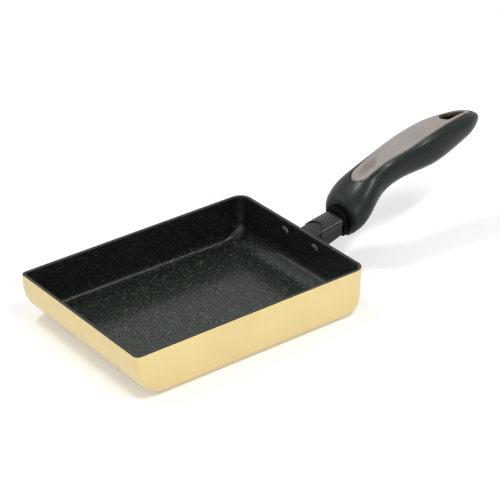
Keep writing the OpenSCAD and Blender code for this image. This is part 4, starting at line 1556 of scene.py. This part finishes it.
class PAN_OT_studio(bpy.types.Operator):
    """Pale floor, soft lamps and the camera"""

    bl_idname = "omelette.studio"
    bl_label = "Studio"

    def execute(self, context):
        scene, studio = context.scene, context.scene.pan_studio
        self.floor(scene, studio)
        for name, place, size, power in LAMPS:
            self.lamp(scene, name, place, size, getattr(studio, power))
        self.world(scene, studio)
        self.camera(scene, studio)
        scene.view_settings.view_transform = "Standard"
        return {"FINISHED"}

    def floor(self, scene, studio):
        mesh = bmesh.new()
        bmesh.ops.create_circle(mesh, cap_ends=True, segments=96, radius=studio.floor_radius)
        bmesh.ops.translate(mesh, verts=mesh.verts, vec=(0.0, 0.0, -FLOOR_DROP))
        data = bpy.data.meshes.new("studio_floor")
        mesh.to_mesh(data)
        mesh.free()
        floor = bpy.data.objects.new("studio_floor", data)
        scene.collection.objects.link(floor)
        data.materials.append(self.floor_material(studio))

    def floor_material(self, studio):
        """Pale floor, lifted a little towards white where the camera or a reflection sees it."""
        finish = Finish("studio_floor", studio.floor, 0.9, Specular_IOR_Level=0.1)
        finish.shader.inputs["Emission Color"].default_value = (1.0, 1.0, 1.0, 1.0)
        path = finish.node("LightPath").outputs
        seen = finish.combine("MAXIMUM", path["Is Camera Ray"], path["Is Glossy Ray"])
        finish.link(finish.combine("MULTIPLY", seen, studio.lift), "Emission Strength")
        return finish.material

    def lamp(self, scene, name, place, size, power):
        data = bpy.data.lights.new(name, "AREA")
        data.shape = "RECTANGLE"
        data.size, data.size_y = size
        data.energy = power
        lamp = bpy.data.objects.new(name, data)
        scene.collection.objects.link(lamp)
        lamp.location = place
        aim = Vector(LAMPS_AIM) - Vector(place)
        lamp.rotation_euler = aim.to_track_quat("-Z", "Y").to_euler()

    def world(self, scene, studio):
        """Even light from all round, which is white where it is seen or mirrored."""
        world = scene.world or bpy.data.worlds.new("studio_world")
        scene.world = world
        world.use_nodes = True
        tree = world.node_tree
        sky = tree.nodes["Background"]
        sky.inputs["Color"].default_value = (1.0, 1.0, 1.0, 1.0)
        path = tree.nodes.new("ShaderNodeLightPath").outputs
        seen = combine(tree, "MAXIMUM", path["Is Camera Ray"], path["Is Transmission Ray"])
        seen = combine(tree, "MAXIMUM", seen, path["Is Glossy Ray"])
        level = tree.nodes.new("ShaderNodeMapRange")
        level.inputs["To Min"].default_value = studio.sky
        level.inputs["To Max"].default_value = 1.0
        tree.links.new(seen, level.inputs["Value"])
        tree.links.new(level.outputs["Result"], sky.inputs["Strength"])

    def camera(self, scene, studio):
        data = bpy.data.cameras.new("camera")
        data.sensor_width = FILM_WIDTH
        data.lens = studio.focal_length
        data.clip_start, data.clip_end = NEAR_CLIP, FAR_CLIP
        camera = bpy.data.objects.new("camera", data)
        scene.collection.objects.link(camera)
        camera.location = studio.camera_place
        camera.rotation_euler = Euler(studio.camera_turn)
        scene.camera = camera


class PAN_PT_panel(bpy.types.Panel):
    """Sizes, colours and pieces of the omelette pan"""

    bl_idname = "PAN_PT_panel"
    bl_label = "Omelette Pan"
    bl_space_type = "VIEW_3D"
    bl_region_type = "UI"
    bl_category = "Omelette Pan"

    def draw(self, context):
        layout = self.layout
        for name, (title, _) in GROUPS.items():
            group = getattr(context.scene, name)
            box = layout.box()
            box.label(text=title)
            for item in group.__annotations__:
                box.prop(group, item)
        for operator in PIECES:
            layout.operator(operator.bl_idname)


GROUPS = {
    "pan_form": ("Pan", PanForm),
    "neck_form": ("Neck", NeckForm),
    "grip_form": ("Grip", GripForm),
    "pan_finishes": ("Finishes", Finishes),
    "pan_studio": ("Studio", Studio),
}
PIECES = (
    PAN_OT_pressed_pan, PAN_OT_rivets, PAN_OT_bracket, PAN_OT_neck_cover, PAN_OT_mouth_ring,
    PAN_OT_grip, PAN_OT_top_cover, PAN_OT_screw, PAN_OT_studio,
)


CLASSES = (*(group for _, group in GROUPS.values()), *PIECES, PAN_PT_panel)


def register():
    for item in CLASSES:
        bpy.utils.register_class(item)
    for name, (_, group) in GROUPS.items():
        setattr(bpy.types.Scene, name, PointerProperty(type=group))


def unregister():
    for name in GROUPS:
        delattr(bpy.types.Scene, name)
    for item in reversed(CLASSES):
        bpy.utils.unregister_class(item)


def main():
    register()
    bpy.ops.omelette.pressed_pan()
    bpy.ops.omelette.rivets()
    bpy.ops.omelette.bracket()
    bpy.ops.omelette.neck_cover()
    bpy.ops.omelette.mouth_ring()
    bpy.ops.omelette.grip()
    bpy.ops.omelette.top_cover()
    bpy.ops.omelette.screw()
    bpy.ops.omelette.studio()


if __name__ == "__main__":
    main()
